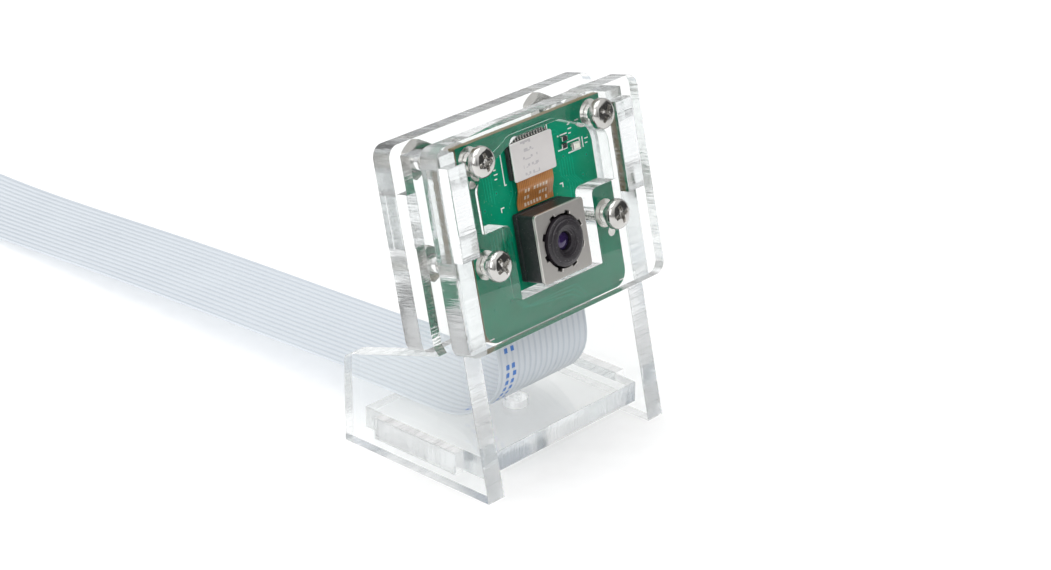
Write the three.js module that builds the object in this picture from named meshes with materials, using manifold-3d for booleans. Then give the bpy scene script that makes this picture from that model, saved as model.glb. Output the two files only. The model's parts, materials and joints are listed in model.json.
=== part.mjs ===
// A table-top camera mount: a laser-cut clear acrylic stand that holds a small camera board.
// Two side plates stand on the table and carry a base plate and a tilted head. The head is a
// front plate and a back plate with the camera board between them, drawn together by four long
// screws. The autofocus lens slides in its module, and the cable connector's latch slides open.
// Millimetres, +Z up, the front looks along -Y, the origin is under the middle of the footprint.
import * as THREE from 'three';
import * as BufferGeometryUtils from 'three/addons/utils/BufferGeometryUtils.js';
import Module from 'manifold-3d';

const wasm = await Module();
wasm.setup();

// ---- driving dimensions ---------------------------------------------------------------------
const SHEET = 2.73;            // thickness of the acrylic sheet, sold as 3 mm
const FIT = 0.08;              // clearance left by the laser on each side of a slotted joint
const TILT = THREE.MathUtils.degToRad(12.776); // how far the head leans back from upright

const FOOT_FRONT = -12.02;     // front and rear ends of a side plate's foot, along Y
const FOOT_REAR = 12.02;
const SIDE_OUTER = 15.97;      // outer face of each side plate, along X
const SIDE_INNER = SIDE_OUTER - SHEET;
const SIDE_REAR_TOP = 11.7;    // height of a side plate's rear edge
const SHOULDER = { y: -4.0, z: 16.75 };  // where the sloping top edge meets the arm
const ARM_TOP = 42.5;          // top of the arm, up the head
const FRONT_TAB = [30.1, 41.2];          // the arm's tab through the front plate, up the head
const REAR_TAB = [31.4, 37.7];           // the arm's tab through the back plate

const BASE_BOTTOM = 2.05;      // underside of the base plate above the table
const BASE_HALF_DEPTH = 9.85;
const BASE_TAB = [-6.5, 6.8];  // the base plate's tabs through the side plates, along Y
const BASE_HOLE = { y: -1.6, radius: 1.6 };

const PLATE_BOTTOM = 18.63;    // both head plates, measured up the head
const PLATE_TOP = 43.9;
const FRONT_HALF_WIDTH = 17.53;
const BACK_HALF_WIDTH = 17.67;
const PLATE_CORNER = 1.6;
const BACK_REAR = -7.565;      // rear face of the back plate, measured out of the head's front

const BOARD_SHIFT = -0.5;      // the board, its holes and the window sit this far off centre
const BOARD = { halfWidth: 12.5, bottom: 18.7, top: 42.7, front: -0.1, thick: 1.0, corner: 2 };
const HOLES = { half: 10.5, low: 28.2, high: 40.7, radius: 1.1 };
const WINDOW = { narrow: 7.15, wide: 11.4, bottom: 23.0, ledge: 32.3, top: 41.9 };

const SCREW = { shank: 0.98, head: 1.9, dome: 1.3, length: 12 };
const NUT = { flats: 4.0, thick: 1.6, bore: 1.05 };

const MODULE = { half: 4.25, centre: 28.1, base: [0.15, 0.85], housing: [0.95, 3.4], cover: 3.9 };
const BARREL = { radius: 3.05, front: 4.6, rear: 1.75, glass: 0.9 };
const FLEX_HALF_WIDTH = 3.1;
const PLUG = { u: [-3.6, 3.6], v: [36.05, 40.7], w: [0.95, 1.2] };

const CONNECTOR = { half: 9.6, bottom: 19.7, top: 24.9, front: -1.3, rear: -3.95 };
const CABLE_W = -2.25;         // middle of the flat cable where it stands in its connector
const CABLE = { width: 16, thick: 0.3, gap: 0.3 };
const CABLE_END = 8;           // length of the stiffened contact end on the table

// The flat cable's route as [y, z]: down out of the head, round one loop that stops short of
// the base plate, back over the plate and out behind, then down onto the table.
const CABLE_ROUTE = [
  [-6.1, 15.7], [-6.45, 14.1], [-6.65, 12.5], [-6.45, 10.9], [-5.75, 9.3],
  [-4.55, 7.8], [-2.9, 6.55], [-0.9, 5.7], [1.5, 5.25], [5, 5.12], [10, 5.05],
  [17, 4.85], [25, 4.5], [35, 4.05], [46, 3.6], [57, 3.1], [68, 2.5],
  [78, 1.85], [88, 1.2], [97, 0.7], [106, 0.42], [115, 0.36], [122.1, 0.36],
];

// ---- materials ------------------------------------------------------------------------------
const finish = (color, roughness, metalness, extra = {}) =>
  new THREE.MeshStandardMaterial({ color, roughness, metalness, ...extra });
const acrylic = finish(0xeef3f2, 0.05, 0, { transparent: true, opacity: 0.35 });
const solderMask = finish(0x0c7a4c, 0.35, 0);
const nickel = finish(0xb9b9b6, 0.25, 1);
const blackPlastic = finish(0x111113, 0.5, 0);
const silverCover = finish(0xd6cfcf, 0.3, 0.9);
const lensGlass = finish(0x0b0b14, 0.05, 0);
const polyimide = finish(0xb0641a, 0.35, 0);
const whitePlastic = finish(0xe9e6dc, 0.45, 0);
const cableJacket = finish(0xccd6e2, 0.4, 0);
const stiffenerBlue = finish(0x2f6fc0, 0.4, 0);

// ---- helpers --------------------------------------------------------------------------------
// Everything on the head is drawn as the head sees it: u across, v up the head, w out of its
// front. The head group leans back, with its own x = u, y = -w and z = v.
const stand = new THREE.Group();
const head = new THREE.Group();
head.position.set(0, FOOT_FRONT, 0);
head.rotation.x = -TILT;
stand.add(head);

function add(parent, name, geometry, material) {
  const mesh = new THREE.Mesh(geometry, material);
  mesh.name = name;
  parent.add(mesh);
  return mesh;
}

// The points of an outline with no point twice, so that each corner and arc end is met once.
function distinctPoints(path, curveSegments) {
  const points = path.getPoints(curveSegments);
  return points.filter((point, i) => {
    const before = points[(i + points.length - 1) % points.length];
    return point.distanceTo(before) > 1e-4;
  });
}

// An outline given thickness along +Z, with its holes cut right through.
function slab(shape, depth, curveSegments = 10) {
  const raise = (path, height) => new THREE.ExtrudeGeometry(
    new THREE.Shape(distinctPoints(path, curveSegments)), { depth: height, bevelEnabled: false },
  );
  const cutters = shape.holes.map((hole) => raise(hole, depth + 2).translate(0, 0, -1));
  return cutters.length ? cut(raise(shape, depth), ...cutters) : raise(shape, depth);
}

// A slab from an outline in (u, v), lying from w = back to w = front.
function headSlab(shape, back, front, curveSegments) {
  return slab(shape, front - back, curveSegments).rotateX(Math.PI / 2).translate(0, -back, 0);
}

// A slab from an outline in (y, z), lying from x = left to x = right.
function sideSlab(shape, left, right) {
  const turn = new THREE.Matrix4().makeBasis(
    new THREE.Vector3(0, 1, 0), new THREE.Vector3(0, 0, 1), new THREE.Vector3(1, 0, 0),
  );
  return slab(shape, right - left).applyMatrix4(turn).translate(left, 0, 0);
}

function headBox(u, v, w) {
  const box = new THREE.BoxGeometry(u[1] - u[0], w[1] - w[0], v[1] - v[0]);
  return box.translate((u[0] + u[1]) / 2, -(w[0] + w[1]) / 2, (v[0] + v[1]) / 2);
}

const spread = (centre, half) => [centre - half, centre + half];

// A rectangle with its four corners rounded, starting at the middle of the bottom side.
function roundedRectangle(u, v, radius, target = new THREE.Shape()) {
  const [left, right] = u;
  const [low, high] = v;
  target.moveTo(left + radius, low);
  target.lineTo(right - radius, low);
  target.absarc(right - radius, low + radius, radius, -Math.PI / 2, 0);
  target.absarc(right - radius, high - radius, radius, 0, Math.PI / 2);
  target.absarc(left + radius, high - radius, radius, Math.PI / 2, Math.PI);
  target.absarc(left + radius, low + radius, radius, Math.PI, 1.5 * Math.PI);
  return target;
}

function rectangle(u, v, target = new THREE.Path()) {
  target.moveTo(u[0], v[0]);
  target.lineTo(u[1], v[0]);
  target.lineTo(u[1], v[1]);
  target.lineTo(u[0], v[1]);
  target.closePath();
  return target;
}

function roundHole(u, v, radius) {
  const hole = new THREE.Path();
  hole.absarc(u, v, radius, 0, 2 * Math.PI, true);
  return hole;
}

// The four screw positions on the head, as { u, v }, left before right and low before high.
const screwPlaces = [-1, 1].flatMap((side) => [HOLES.low, HOLES.high].map(
  (v) => ({ u: BOARD_SHIFT + side * HOLES.half, v }),
));
const screwHoles = () => screwPlaces.map(({ u, v }) => roundHole(u, v, HOLES.radius));

// A closed geometry as a solid for cutting, and the solid back as a geometry.
function solid(geometry) {
  const bare = geometry.clone();
  bare.deleteAttribute('normal');
  bare.deleteAttribute('uv');
  const merged = BufferGeometryUtils.mergeVertices(bare, 1e-5);
  return new wasm.Manifold(new wasm.Mesh({
    numProp: 3,
    vertProperties: new Float32Array(merged.attributes.position.array),
    triVerts: new Uint32Array(merged.index.array),
  }));
}

function surface(body) {
  const mesh = body.getMesh();
  const geometry = new THREE.BufferGeometry();
  geometry.setAttribute('position', new THREE.BufferAttribute(mesh.vertProperties, 3));
  geometry.setIndex(new THREE.BufferAttribute(mesh.triVerts, 1));
  geometry.computeVertexNormals();
  return geometry;
}

const cut = (geometry, ...tools) => surface(
  tools.reduce((body, tool) => body.subtract(solid(tool)), solid(geometry)),
);

// ---- side plates and base plate -------------------------------------------------------------
// A point of a side plate given up the head (v) and out of it (w), as [y, z].
function sidePoint(v, w) {
  return [
    FOOT_FRONT + v * Math.sin(TILT) - w * Math.cos(TILT),
    v * Math.cos(TILT) + w * Math.sin(TILT),
  ];
}

// Foot, sloping shoulder and leaning arm. The arm's front and rear edges carry the head plates,
// and a tab on each edge goes through them.
function sidePlateShape() {
  const armFront = -FIT / 2;
  const armRear = BACK_REAR + SHEET + FIT / 2;
  const shape = new THREE.Shape();
  shape.moveTo(FOOT_FRONT, 0);
  shape.lineTo(FOOT_REAR, 0);
  shape.lineTo(FOOT_REAR, SIDE_REAR_TOP - 1);
  shape.quadraticCurveTo(FOOT_REAR, SIDE_REAR_TOP, FOOT_REAR - 0.9, SIDE_REAR_TOP + 0.3);
  shape.lineTo(SHOULDER.y, SHOULDER.z);
  const up = [
    [19.2, armRear], [REAR_TAB[0], armRear], [REAR_TAB[0], BACK_REAR], [REAR_TAB[1], BACK_REAR],
    [REAR_TAB[1], armRear], [ARM_TOP, armRear], [ARM_TOP, armFront], [FRONT_TAB[1], armFront],
    [FRONT_TAB[1], SHEET], [FRONT_TAB[0], SHEET], [FRONT_TAB[0], armFront],
    [PLATE_BOTTOM - 0.2, armFront], [PLATE_BOTTOM - 0.2, 0],
  ];
  up.forEach(([v, w]) => shape.lineTo(...sidePoint(v, w)));
  shape.closePath();
  shape.holes.push(rectangle(
    [BASE_TAB[0] - FIT, BASE_TAB[1] + FIT], [BASE_BOTTOM - FIT, BASE_BOTTOM + SHEET + FIT],
  ));
  return shape;
}

add(stand, 'left_side_plate', sideSlab(sidePlateShape(), -SIDE_OUTER, -SIDE_INNER), acrylic);
add(stand, 'right_side_plate', sideSlab(sidePlateShape(), SIDE_INNER, SIDE_OUTER), acrylic);

function basePlateShape() {
  const inner = SIDE_INNER - FIT;
  const right = [
    [inner, -BASE_HALF_DEPTH], [inner, BASE_TAB[0]], [SIDE_OUTER, BASE_TAB[0]],
    [SIDE_OUTER, BASE_TAB[1]], [inner, BASE_TAB[1]], [inner, BASE_HALF_DEPTH],
  ];
  const left = right.map(([x, y]) => [-x, y]).reverse();
  const shape = new THREE.Shape([...right, ...left].map(([x, y]) => new THREE.Vector2(x, y)));
  shape.holes.push(roundHole(0, BASE_HOLE.y, BASE_HOLE.radius));
  return shape;
}

const basePlate = slab(basePlateShape(), SHEET, 16).translate(0, 0, BASE_BOTTOM);
add(stand, 'base_plate', basePlate, acrylic);

// ---- head plates ----------------------------------------------------------------------------
const tabSlot = (side, [low, high]) => rectangle(
  side < 0 ? [-SIDE_OUTER - FIT, -SIDE_INNER + FIT] : [SIDE_INNER - FIT, SIDE_OUTER + FIT],
  [low - FIT, high + FIT],
);

// The window in the front plate is T-shaped: narrow round the camera module, with a ledge at
// each side, and wide beside the module's plug. Its top rises from below the screws to the middle.
function windowPath() {
  const across = (side, half) => BOARD_SHIFT + side * half;
  const { narrow, wide, bottom, ledge, top } = WINDOW;
  const path = new THREE.Path();
  path.moveTo(across(-1, narrow), bottom);
  path.lineTo(across(1, narrow), bottom);
  path.lineTo(across(1, narrow), ledge - 1);
  path.quadraticCurveTo(across(1, narrow), ledge, across(1, narrow + 1), ledge);
  path.lineTo(across(1, wide), ledge);
  path.lineTo(across(1, wide), 37.2);
  path.quadraticCurveTo(across(1, wide - 0.2), 39.1, across(1, 9.6), 39.45);
  path.lineTo(across(1, 4.8), 41.4);
  path.quadraticCurveTo(across(1, 4.0), top, across(1, 3.4), top);
  path.lineTo(across(-1, 3.4), top);
  path.quadraticCurveTo(across(-1, 4.0), top, across(-1, 4.8), 41.4);
  path.lineTo(across(-1, 9.6), 39.45);
  path.quadraticCurveTo(across(-1, wide - 0.2), 39.1, across(-1, wide), 37.2);
  path.lineTo(across(-1, wide), ledge);
  path.lineTo(across(-1, narrow + 1), ledge);
  path.quadraticCurveTo(across(-1, narrow), ledge, across(-1, narrow), ledge - 1);
  path.closePath();
  return path;
}

function headPlateShape(halfWidth, tab) {
  const shape = roundedRectangle(
    [-halfWidth, halfWidth], [PLATE_BOTTOM, PLATE_TOP], PLATE_CORNER,
  );
  shape.holes.push(tabSlot(-1, tab), tabSlot(1, tab), ...screwHoles());
  return shape;
}

const frontShape = headPlateShape(FRONT_HALF_WIDTH, FRONT_TAB);
frontShape.holes.push(windowPath());
add(head, 'front_plate', headSlab(frontShape, 0, SHEET), acrylic);
const backShape = headPlateShape(BACK_HALF_WIDTH, REAR_TAB);
add(head, 'back_plate', headSlab(backShape, BACK_REAR, BACK_REAR + SHEET), acrylic);

// ---- camera board ---------------------------------------------------------------------------
const board = new THREE.Group();
board.position.x = BOARD_SHIFT;
head.add(board);

// Square corners at the top and round ones at the bottom.
function boardShape() {
  const { halfWidth, bottom, top, corner } = BOARD;
  const shape = new THREE.Shape();
  shape.moveTo(-halfWidth, top);
  shape.lineTo(-halfWidth, bottom + corner);
  shape.absarc(-halfWidth + corner, bottom + corner, corner, Math.PI, 1.5 * Math.PI);
  shape.absarc(halfWidth - corner, bottom + corner, corner, -Math.PI / 2, 0);
  shape.lineTo(halfWidth, top);
  shape.closePath();
  [-1, 1].forEach((side) => [HOLES.low, HOLES.high].forEach(
    (v) => shape.holes.push(roundHole(side * HOLES.half, v, HOLES.radius)),
  ));
  return shape;
}
const BOARD_BACK = BOARD.front - BOARD.thick;
add(board, 'camera_board', headSlab(boardShape(), BOARD_BACK, BOARD.front), solderMask);

// ---- screws and nuts ------------------------------------------------------------------------
// A pan-head screw on its own axis, +Z out of the head: shank, domed head and cross recess.
function panHeadScrew() {
  const { shank, head: rim, dome, length } = SCREW;
  const profile = new THREE.Path();
  profile.moveTo(0, -length);
  profile.lineTo(shank - 0.3, -length);
  profile.lineTo(shank, -length + 0.4);
  profile.lineTo(shank, 0);
  profile.lineTo(rim, 0);
  profile.lineTo(rim, dome * 0.35);
  profile.quadraticCurveTo(rim, dome, rim * 0.45, dome);
  profile.lineTo(0, dome);
  const turned = new THREE.LatheGeometry(profile.getPoints(5), 28).rotateX(Math.PI / 2);
  const arm = (angle) => new THREE.BoxGeometry(2.1, 0.5, 1.4)
    .rotateZ(angle).translate(0, 0, dome);
  return cut(turned, arm(Math.PI / 4), arm(-Math.PI / 4));
}

function hexNut() {
  const outline = new THREE.Shape();
  const corner = NUT.flats / Math.sqrt(3);
  for (let i = 0; i < 6; i += 1) {
    const angle = ((i + 0.5) * Math.PI) / 3;
    outline[i ? 'lineTo' : 'moveTo'](corner * Math.cos(angle), corner * Math.sin(angle));
  }
  outline.closePath();
  outline.holes.push(roundHole(0, 0, NUT.bore));
  return slab(outline, NUT.thick);
}

const names = ['lower_left', 'upper_left', 'lower_right', 'upper_right'];
screwPlaces.forEach(({ u, v }, i) => {
  // Each fastener is drawn along +Z and turned to point out of the head's front.
  const place = (name, geometry, w) => {
    const mesh = add(head, `${name}_${names[i]}`, geometry, nickel);
    mesh.rotation.x = Math.PI / 2;
    mesh.position.set(u, -w, v);
  };
  place('screw', panHeadScrew(), SHEET + 0.05);
  place('board_nut', hexNut(), BOARD_BACK - 0.1 - NUT.thick);
  place('back_nut', hexNut(), BACK_REAR - 0.05 - NUT.thick);
});

// ---- camera module --------------------------------------------------------------------------
const square = (half) => [spread(0, half), spread(MODULE.centre, half)];
const { half: moduleHalf, centre } = MODULE;
add(board, 'module_base', headBox(...square(moduleHalf - 0.1), MODULE.base), blackPlastic);

const housingShape = roundedRectangle(...square(moduleHalf - 0.1), 0.4);
housingShape.holes.push(roundHole(0, centre, 3.35));
add(board, 'module_housing', headSlab(housingShape, ...MODULE.housing, 14), blackPlastic);

// The metal cover's opening has eight small round notches, where the springs are welded.
function coverShape() {
  const shape = roundedRectangle(...square(moduleHalf), 0.45);
  const opening = new THREE.Path();
  const notches = 8;
  const reach = 0.13;
  for (let i = 0; i < notches; i += 1) {
    const middle = ((i + 0.5) / notches) * 2 * Math.PI;
    const end = ((i + 1) / notches) * 2 * Math.PI;
    const [start, open, close] = [end - (2 * Math.PI) / notches, middle - reach, middle + reach];
    opening.absarc(0, centre, 3.25, start, open);
    opening.absarc(0, centre, 3.65, open, close);
    opening.absarc(0, centre, 3.25, close, end);
  }
  shape.holes.push(opening);
  return shape;
}
const coverBack = MODULE.housing[1] + 0.05;
add(board, 'module_cover', headSlab(coverShape(), coverBack, MODULE.cover, 5), silverCover);

// The image sensor lies on the base, with the infrared filter over it, in the housing's well.
const [baseBack, baseFront] = MODULE.base;
const die = [spread(0, 1.9), spread(centre, 1.5), [baseFront + 0.02, baseFront + 0.32]];
add(board, 'image_sensor', headBox(...die), lensGlass);
const filter = [spread(0, 2.1), spread(centre, 2.1), [baseFront + 0.42, baseFront + 0.62]];
add(board, 'infrared_filter', headBox(...filter), lensGlass);

// The focusing barrel is turned: a plain rear rim, a stepped front and a cone down to the glass.
const barrelProfile = [
  [1.15, BARREL.rear], [BARREL.radius, BARREL.rear], [BARREL.radius, BARREL.front - 0.35],
  [BARREL.radius - 0.15, BARREL.front - 0.2], [2.35, BARREL.front], [1.9, BARREL.front],
  [1.15, BARREL.front - 0.55], [1.15, BARREL.rear],
].map(([r, w]) => new THREE.Vector2(r, w));
const turnedOnAxis = (profile, sides) => new THREE.LatheGeometry(profile, sides)
  .rotateX(Math.PI).translate(0, 0, centre);
add(board, 'focus_barrel', turnedOnAxis(barrelProfile, 40), blackPlastic);
const glassProfile = [
  [0, BARREL.front - 1.5], [1.05, BARREL.front - 1.5], [1.05, BARREL.front - 0.95],
  [0.8, BARREL.front - 0.78], [0.4, BARREL.front - 0.68], [0, BARREL.front - 0.65],
].map(([r, w]) => new THREE.Vector2(r, w));
add(board, 'front_lens', turnedOnAxis(glassProfile, 32), lensGlass);

// ---- flex and its plug ----------------------------------------------------------------------
// The flex leaves the module's base, rises a little and runs up under the plug's metal plate.
function flexShape() {
  const low = MODULE.centre + MODULE.half + 0.1;
  const middle = [[low, 0.3], [low + 0.8, 0.32], [low + 2.2, 0.72], [PLUG.v[1] - 0.5, 0.8]];
  const front = middle.map(([v, w]) => new THREE.Vector2(-w - 0.06, v));
  const back = middle.map(([v, w]) => new THREE.Vector2(-w + 0.06, v)).reverse();
  return new THREE.Shape([...front, ...back]);
}
add(board, 'module_flex', sideSlab(flexShape(), -FLEX_HALF_WIDTH, FLEX_HALF_WIDTH), polyimide);
const socket = [[-3.5, 3.5], [36.3, 41.0], [0, 0.6]];
const socketWell = headBox([-3.2, 3.2], [35, 40.4], [0.45, 2]);
add(board, 'flex_socket', cut(headBox(...socket), socketWell), blackPlastic);
add(board, 'flex_plug_plate', headBox(PLUG.u, PLUG.v, PLUG.w), silverCover);

// ---- small parts on the board ---------------------------------------------------------------
const onFront = (u, v, halfU, halfV, height) => headBox(spread(u, halfU), spread(v, halfV), [0, height]);
add(board, 'status_led', onFront(8.3, 37.25, 0.8, 0.4, 0.65), whitePlastic);
add(board, 'resistor_upper', onFront(6.55, 38.6, 0.5, 0.27, 0.4), blackPlastic);
add(board, 'resistor_lower', onFront(6.35, 37.75, 0.5, 0.27, 0.4), blackPlastic);

const BEHIND = BOARD_BACK - 0.1;
const onBack = (u, v, halfU, halfV, height) => headBox(
  spread(u, halfU), spread(v, halfV), [BEHIND - height, BEHIND],
);
add(board, 'crystal', onBack(-4.5, 33.5, 1.6, 1.25, 0.8), silverCover);
add(board, 'regulator', onBack(3.4, 34.2, 1.5, 0.85, 1.1), blackPlastic);
add(board, 'focus_driver', onBack(0.2, 29.6, 1.0, 1.0, 0.6), blackPlastic);

// ---- flat-cable connector on the back of the board ------------------------------------------
// The housing's mouth looks down. The cable stands against its front wall and the latch slides
// up behind the cable; pulled down, it lets the cable go.
const { half: connectorHalf, bottom: mouth, top: roof, front, rear } = CONNECTOR;
const housing = headBox(spread(0, connectorHalf), [mouth, roof], [rear, front]);
const throat = headBox(spread(0, 8.4), [mouth - 1, mouth + 4.1], [-3.5, CABLE_W + 0.4]);
add(board, 'cable_connector', cut(housing, throat), whitePlastic);

const latchPull = headBox(spread(0, 10.4), [mouth - 1.5, mouth - 0.25], [-3.85, -2.85]);
const latchTongue = headBox(spread(0, 8.1), [mouth - 0.4, mouth + 2.6], [-3.3, -2.85]);
const latchEar = (side) => headBox(
  side < 0 ? [-10.4, -connectorHalf - 0.2] : [connectorHalf + 0.2, 10.4],
  [mouth - 0.4, mouth + 2.0], [-3.6, -2.85],
);
const latch = [latchTongue, latchEar(-1), latchEar(1)].reduce(
  (body, piece) => body.add(solid(piece)), solid(latchPull),
);
add(board, 'connector_latch', surface(latch), blackPlastic);

// ---- flat cable -----------------------------------------------------------------------------
const cableHalf = CABLE.width / 2;
const cableThick = spread(CABLE_W, CABLE.thick / 2);
add(board, 'cable_near_end', headBox(
  spread(0, cableHalf), [mouth + 0.2, mouth + 3.9], cableThick,
), stiffenerBlue);

// The route with its ends, then a band of even thickness along it, as an outline in (y, z).
const cableStart = [mouth - 0.1, mouth - 1.2].map((v) => sidePoint(v, CABLE_W));
const cableCurve = new THREE.CatmullRomCurve3(
  [...cableStart, ...CABLE_ROUTE].map(([y, z]) => new THREE.Vector3(0, y, z)), false, 'centripetal',
);
function cableShape(steps) {
  const edge = (side) => Array.from({ length: steps + 1 }, (_, i) => {
    const at = cableCurve.getPointAt(i / steps);
    const along = cableCurve.getTangentAt(i / steps);
    const off = (side * CABLE.thick) / 2;
    return new THREE.Vector2(at.y - along.z * off, at.z + along.y * off);
  });
  return new THREE.Shape([...edge(1), ...edge(-1).reverse()]);
}
const cable = sideSlab(cableShape(72), BOARD_SHIFT - cableHalf, BOARD_SHIFT + cableHalf);
add(stand, 'flat_cable', cable, cableJacket);

const [cableTail, cableHeight] = CABLE_ROUTE[CABLE_ROUTE.length - 1];
const farEnd = new THREE.BoxGeometry(CABLE.width, CABLE_END, CABLE.thick);
farEnd.translate(BOARD_SHIFT, cableTail + CABLE.gap + CABLE_END / 2, cableHeight);
add(stand, 'cable_far_end', farEnd, stiffenerBlue);

export default stand;
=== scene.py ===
"""A clear acrylic table stand that holds a small autofocus camera board, with its flat cable.

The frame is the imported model. Everything on the leaning head is worked out in the head's own
axes: u across, v up the head and w out of its front. They are read from the frame: w is the
way the lens slides, v is the way the cable latch closes, and the origin is the front of the
side plates' feet. Lengths here are metres; MM turns millimetres into metres.
"""

import json
import math

import bmesh
import bpy
import numpy as np
from mathutils import Euler, Matrix, Vector
from mathutils.geometry import tessellate_polygon


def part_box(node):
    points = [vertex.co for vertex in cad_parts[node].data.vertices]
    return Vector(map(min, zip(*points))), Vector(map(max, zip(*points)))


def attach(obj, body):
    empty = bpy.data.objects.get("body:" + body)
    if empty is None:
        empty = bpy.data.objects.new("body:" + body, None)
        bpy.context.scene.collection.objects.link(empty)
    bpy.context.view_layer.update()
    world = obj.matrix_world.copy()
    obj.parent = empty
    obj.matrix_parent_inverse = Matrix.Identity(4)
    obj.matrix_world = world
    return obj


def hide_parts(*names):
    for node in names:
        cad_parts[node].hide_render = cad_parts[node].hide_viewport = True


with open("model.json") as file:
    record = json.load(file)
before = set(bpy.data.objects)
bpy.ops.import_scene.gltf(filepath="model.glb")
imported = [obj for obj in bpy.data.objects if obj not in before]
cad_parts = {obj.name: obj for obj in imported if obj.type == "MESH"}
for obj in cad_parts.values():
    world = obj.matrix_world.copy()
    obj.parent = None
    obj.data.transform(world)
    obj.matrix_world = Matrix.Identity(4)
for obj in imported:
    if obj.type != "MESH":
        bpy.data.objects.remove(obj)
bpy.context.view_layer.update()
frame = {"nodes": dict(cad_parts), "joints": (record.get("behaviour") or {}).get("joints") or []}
NODES = frame["nodes"]
MM = 0.001


# ---- the head's axes ------------------------------------------------------------------------
def joint_axis(name):
    return np.array(next(j["axis"] for j in frame["joints"] if j["name"] == name), float)


U = np.array([1.0, 0.0, 0.0])
W = joint_axis("focus_travel")
V = -joint_axis("latch_slide")
ORIGIN = np.array([0.0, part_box("left_side_plate")[0][1], 0.0])


def head(u, v, w):
    """Points of the head in millimetres (u, v, w), as an array of places in metres."""
    u, v, w = np.broadcast_arrays(*(np.asarray(a, float) for a in (u, v, w)))
    return ORIGIN + MM * (u[..., None] * U + v[..., None] * V + w[..., None] * W)


def flat_place(x, y, z):
    """Points given in millimetres along the frame's own axes, as an array of places in metres."""
    return MM * np.stack(np.broadcast_arrays(x, y, z), -1)


def vertices(mesh):
    flat = np.empty(len(mesh.vertices) * 3, np.float32)
    mesh.vertices.foreach_get("co", flat)
    return flat.reshape(-1, 3).astype(float)


def extent(node):
    """A CAD node's (low, high) along u, v and w, in millimetres."""
    along = (vertices(NODES[node].data) - ORIGIN) @ np.stack([U, V, W]).T / MM
    return np.stack([along.min(0), along.max(0)], 1)


BOARD_U, BOARD_V, BOARD_W = extent("camera_board")
MIDDLE = BOARD_U.mean()          # the board sits a little off the stand's middle
BOARD_FACE = BOARD_W[1]
LENS_V = extent("focus_barrel")[1].mean()

# ---- camera ---------------------------------------------------------------------------------
CAMERA_AZIMUTH = -48.0           # degrees round from the front, towards the stand's left
CAMERA_ELEVATION = 24.83
CAMERA_ROLL = 0.5
CAMERA_DISTANCE = 0.33428
CAMERA_TARGET = Vector((0.00091, -0.00232, 0.01975))
CAMERA_LENS = 94.67


def make_camera():
    """The camera looks at its target from the given azimuth and elevation, rolled a little."""
    data = bpy.data.cameras.new("camera")
    data.lens = CAMERA_LENS
    data.sensor_width = 36
    data.clip_start = 0.01
    camera = bpy.data.objects.new("camera", data)
    bpy.context.scene.collection.objects.link(camera)
    turn = Euler((
        math.radians(90 - CAMERA_ELEVATION), 0, math.radians(CAMERA_AZIMUTH),
    )).to_matrix() @ Matrix.Rotation(math.radians(CAMERA_ROLL), 3, "Z")
    place = CAMERA_TARGET + turn @ Vector((0, 0, CAMERA_DISTANCE))
    camera.matrix_world = Matrix.Translation(place) @ turn.to_4x4()
    bpy.context.scene.camera = camera


make_camera()


# ---- making meshes --------------------------------------------------------------------------
def link(name, mesh, *materials):
    piece = bpy.data.objects.new(name, mesh)
    bpy.context.scene.collection.objects.link(piece)
    for material in materials:
        mesh.materials.append(material)
    return piece


def mesh_of(name, points, faces, smooth=False):
    mesh = bpy.data.meshes.new(name)
    mesh.from_pydata(points.reshape(-1, 3).tolist(), [], faces.tolist())
    mesh.polygons.foreach_set("use_smooth", np.full(len(mesh.polygons), smooth))
    mesh.update()
    return mesh


def grid_faces(rows, columns, close_rows=False, close_columns=False):
    """Quads of a grid of points, row by row; a closed direction joins its end to its start."""
    i = np.arange(rows if close_rows else rows - 1)[:, None]
    j = np.arange(columns if close_columns else columns - 1)[None, :]
    i2, j2 = (i + 1) % rows, (j + 1) % columns
    corners = [i * columns + j, i2 * columns + j, i2 * columns + j2, i * columns + j2]
    shape = (i.shape[0], j.shape[1])
    return np.stack([np.broadcast_to(c, shape) for c in corners], -1).reshape(-1, 4)


def triangles_of(quads):
    return np.concatenate([quads[:, [0, 1, 2]], quads[:, [0, 2, 3]]])


def sheet_form(points, uv, finish=0, close_rows=False, close_columns=False):
    """A form from a grid of points: (places, triangles, UVs of their corners, finish numbers).

    A closed direction joins its last row or column to its first.
    """
    rows, columns = points.shape[:2]
    faces = triangles_of(grid_faces(rows, columns, close_rows, close_columns))
    corner_uv = uv.reshape(-1, 2)[faces]
    return points.reshape(-1, 3), faces, corner_uv, np.full(len(faces), finish)


def combine(forms):
    """Several forms as one, each one's triangles counted on from the last one's points."""
    starts = np.cumsum([0] + [len(form[0]) for form in forms])
    return (
        np.concatenate([form[0] for form in forms]),
        np.concatenate([form[1] + start for form, start in zip(forms, starts)]),
        np.concatenate([form[2] for form in forms]),
        np.concatenate([form[3] for form in forms]),
    )


def make(name, forms, materials, crease=28):
    """A piece from forms: its doubles are merged, its faces turned outwards, its creases kept."""
    points, faces, uv, finishes = combine(forms)
    mesh = mesh_of(name, points, faces, smooth=True)
    mesh.polygons.foreach_set("material_index", finishes.astype(np.int32))
    mesh.uv_layers.new(name="UVMap").data.foreach_set("uv", uv.reshape(-1).astype(np.float32))
    shell = bmesh.new()
    shell.from_mesh(mesh)
    bmesh.ops.remove_doubles(shell, verts=shell.verts, dist=2e-7)
    bmesh.ops.dissolve_degenerate(shell, edges=shell.edges, dist=1e-8)
    bmesh.ops.recalc_face_normals(shell, faces=shell.faces)
    shell.to_mesh(mesh)
    shell.free()
    mesh.set_sharp_from_angle(angle=math.radians(crease))
    return link(name, mesh, *materials)


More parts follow.
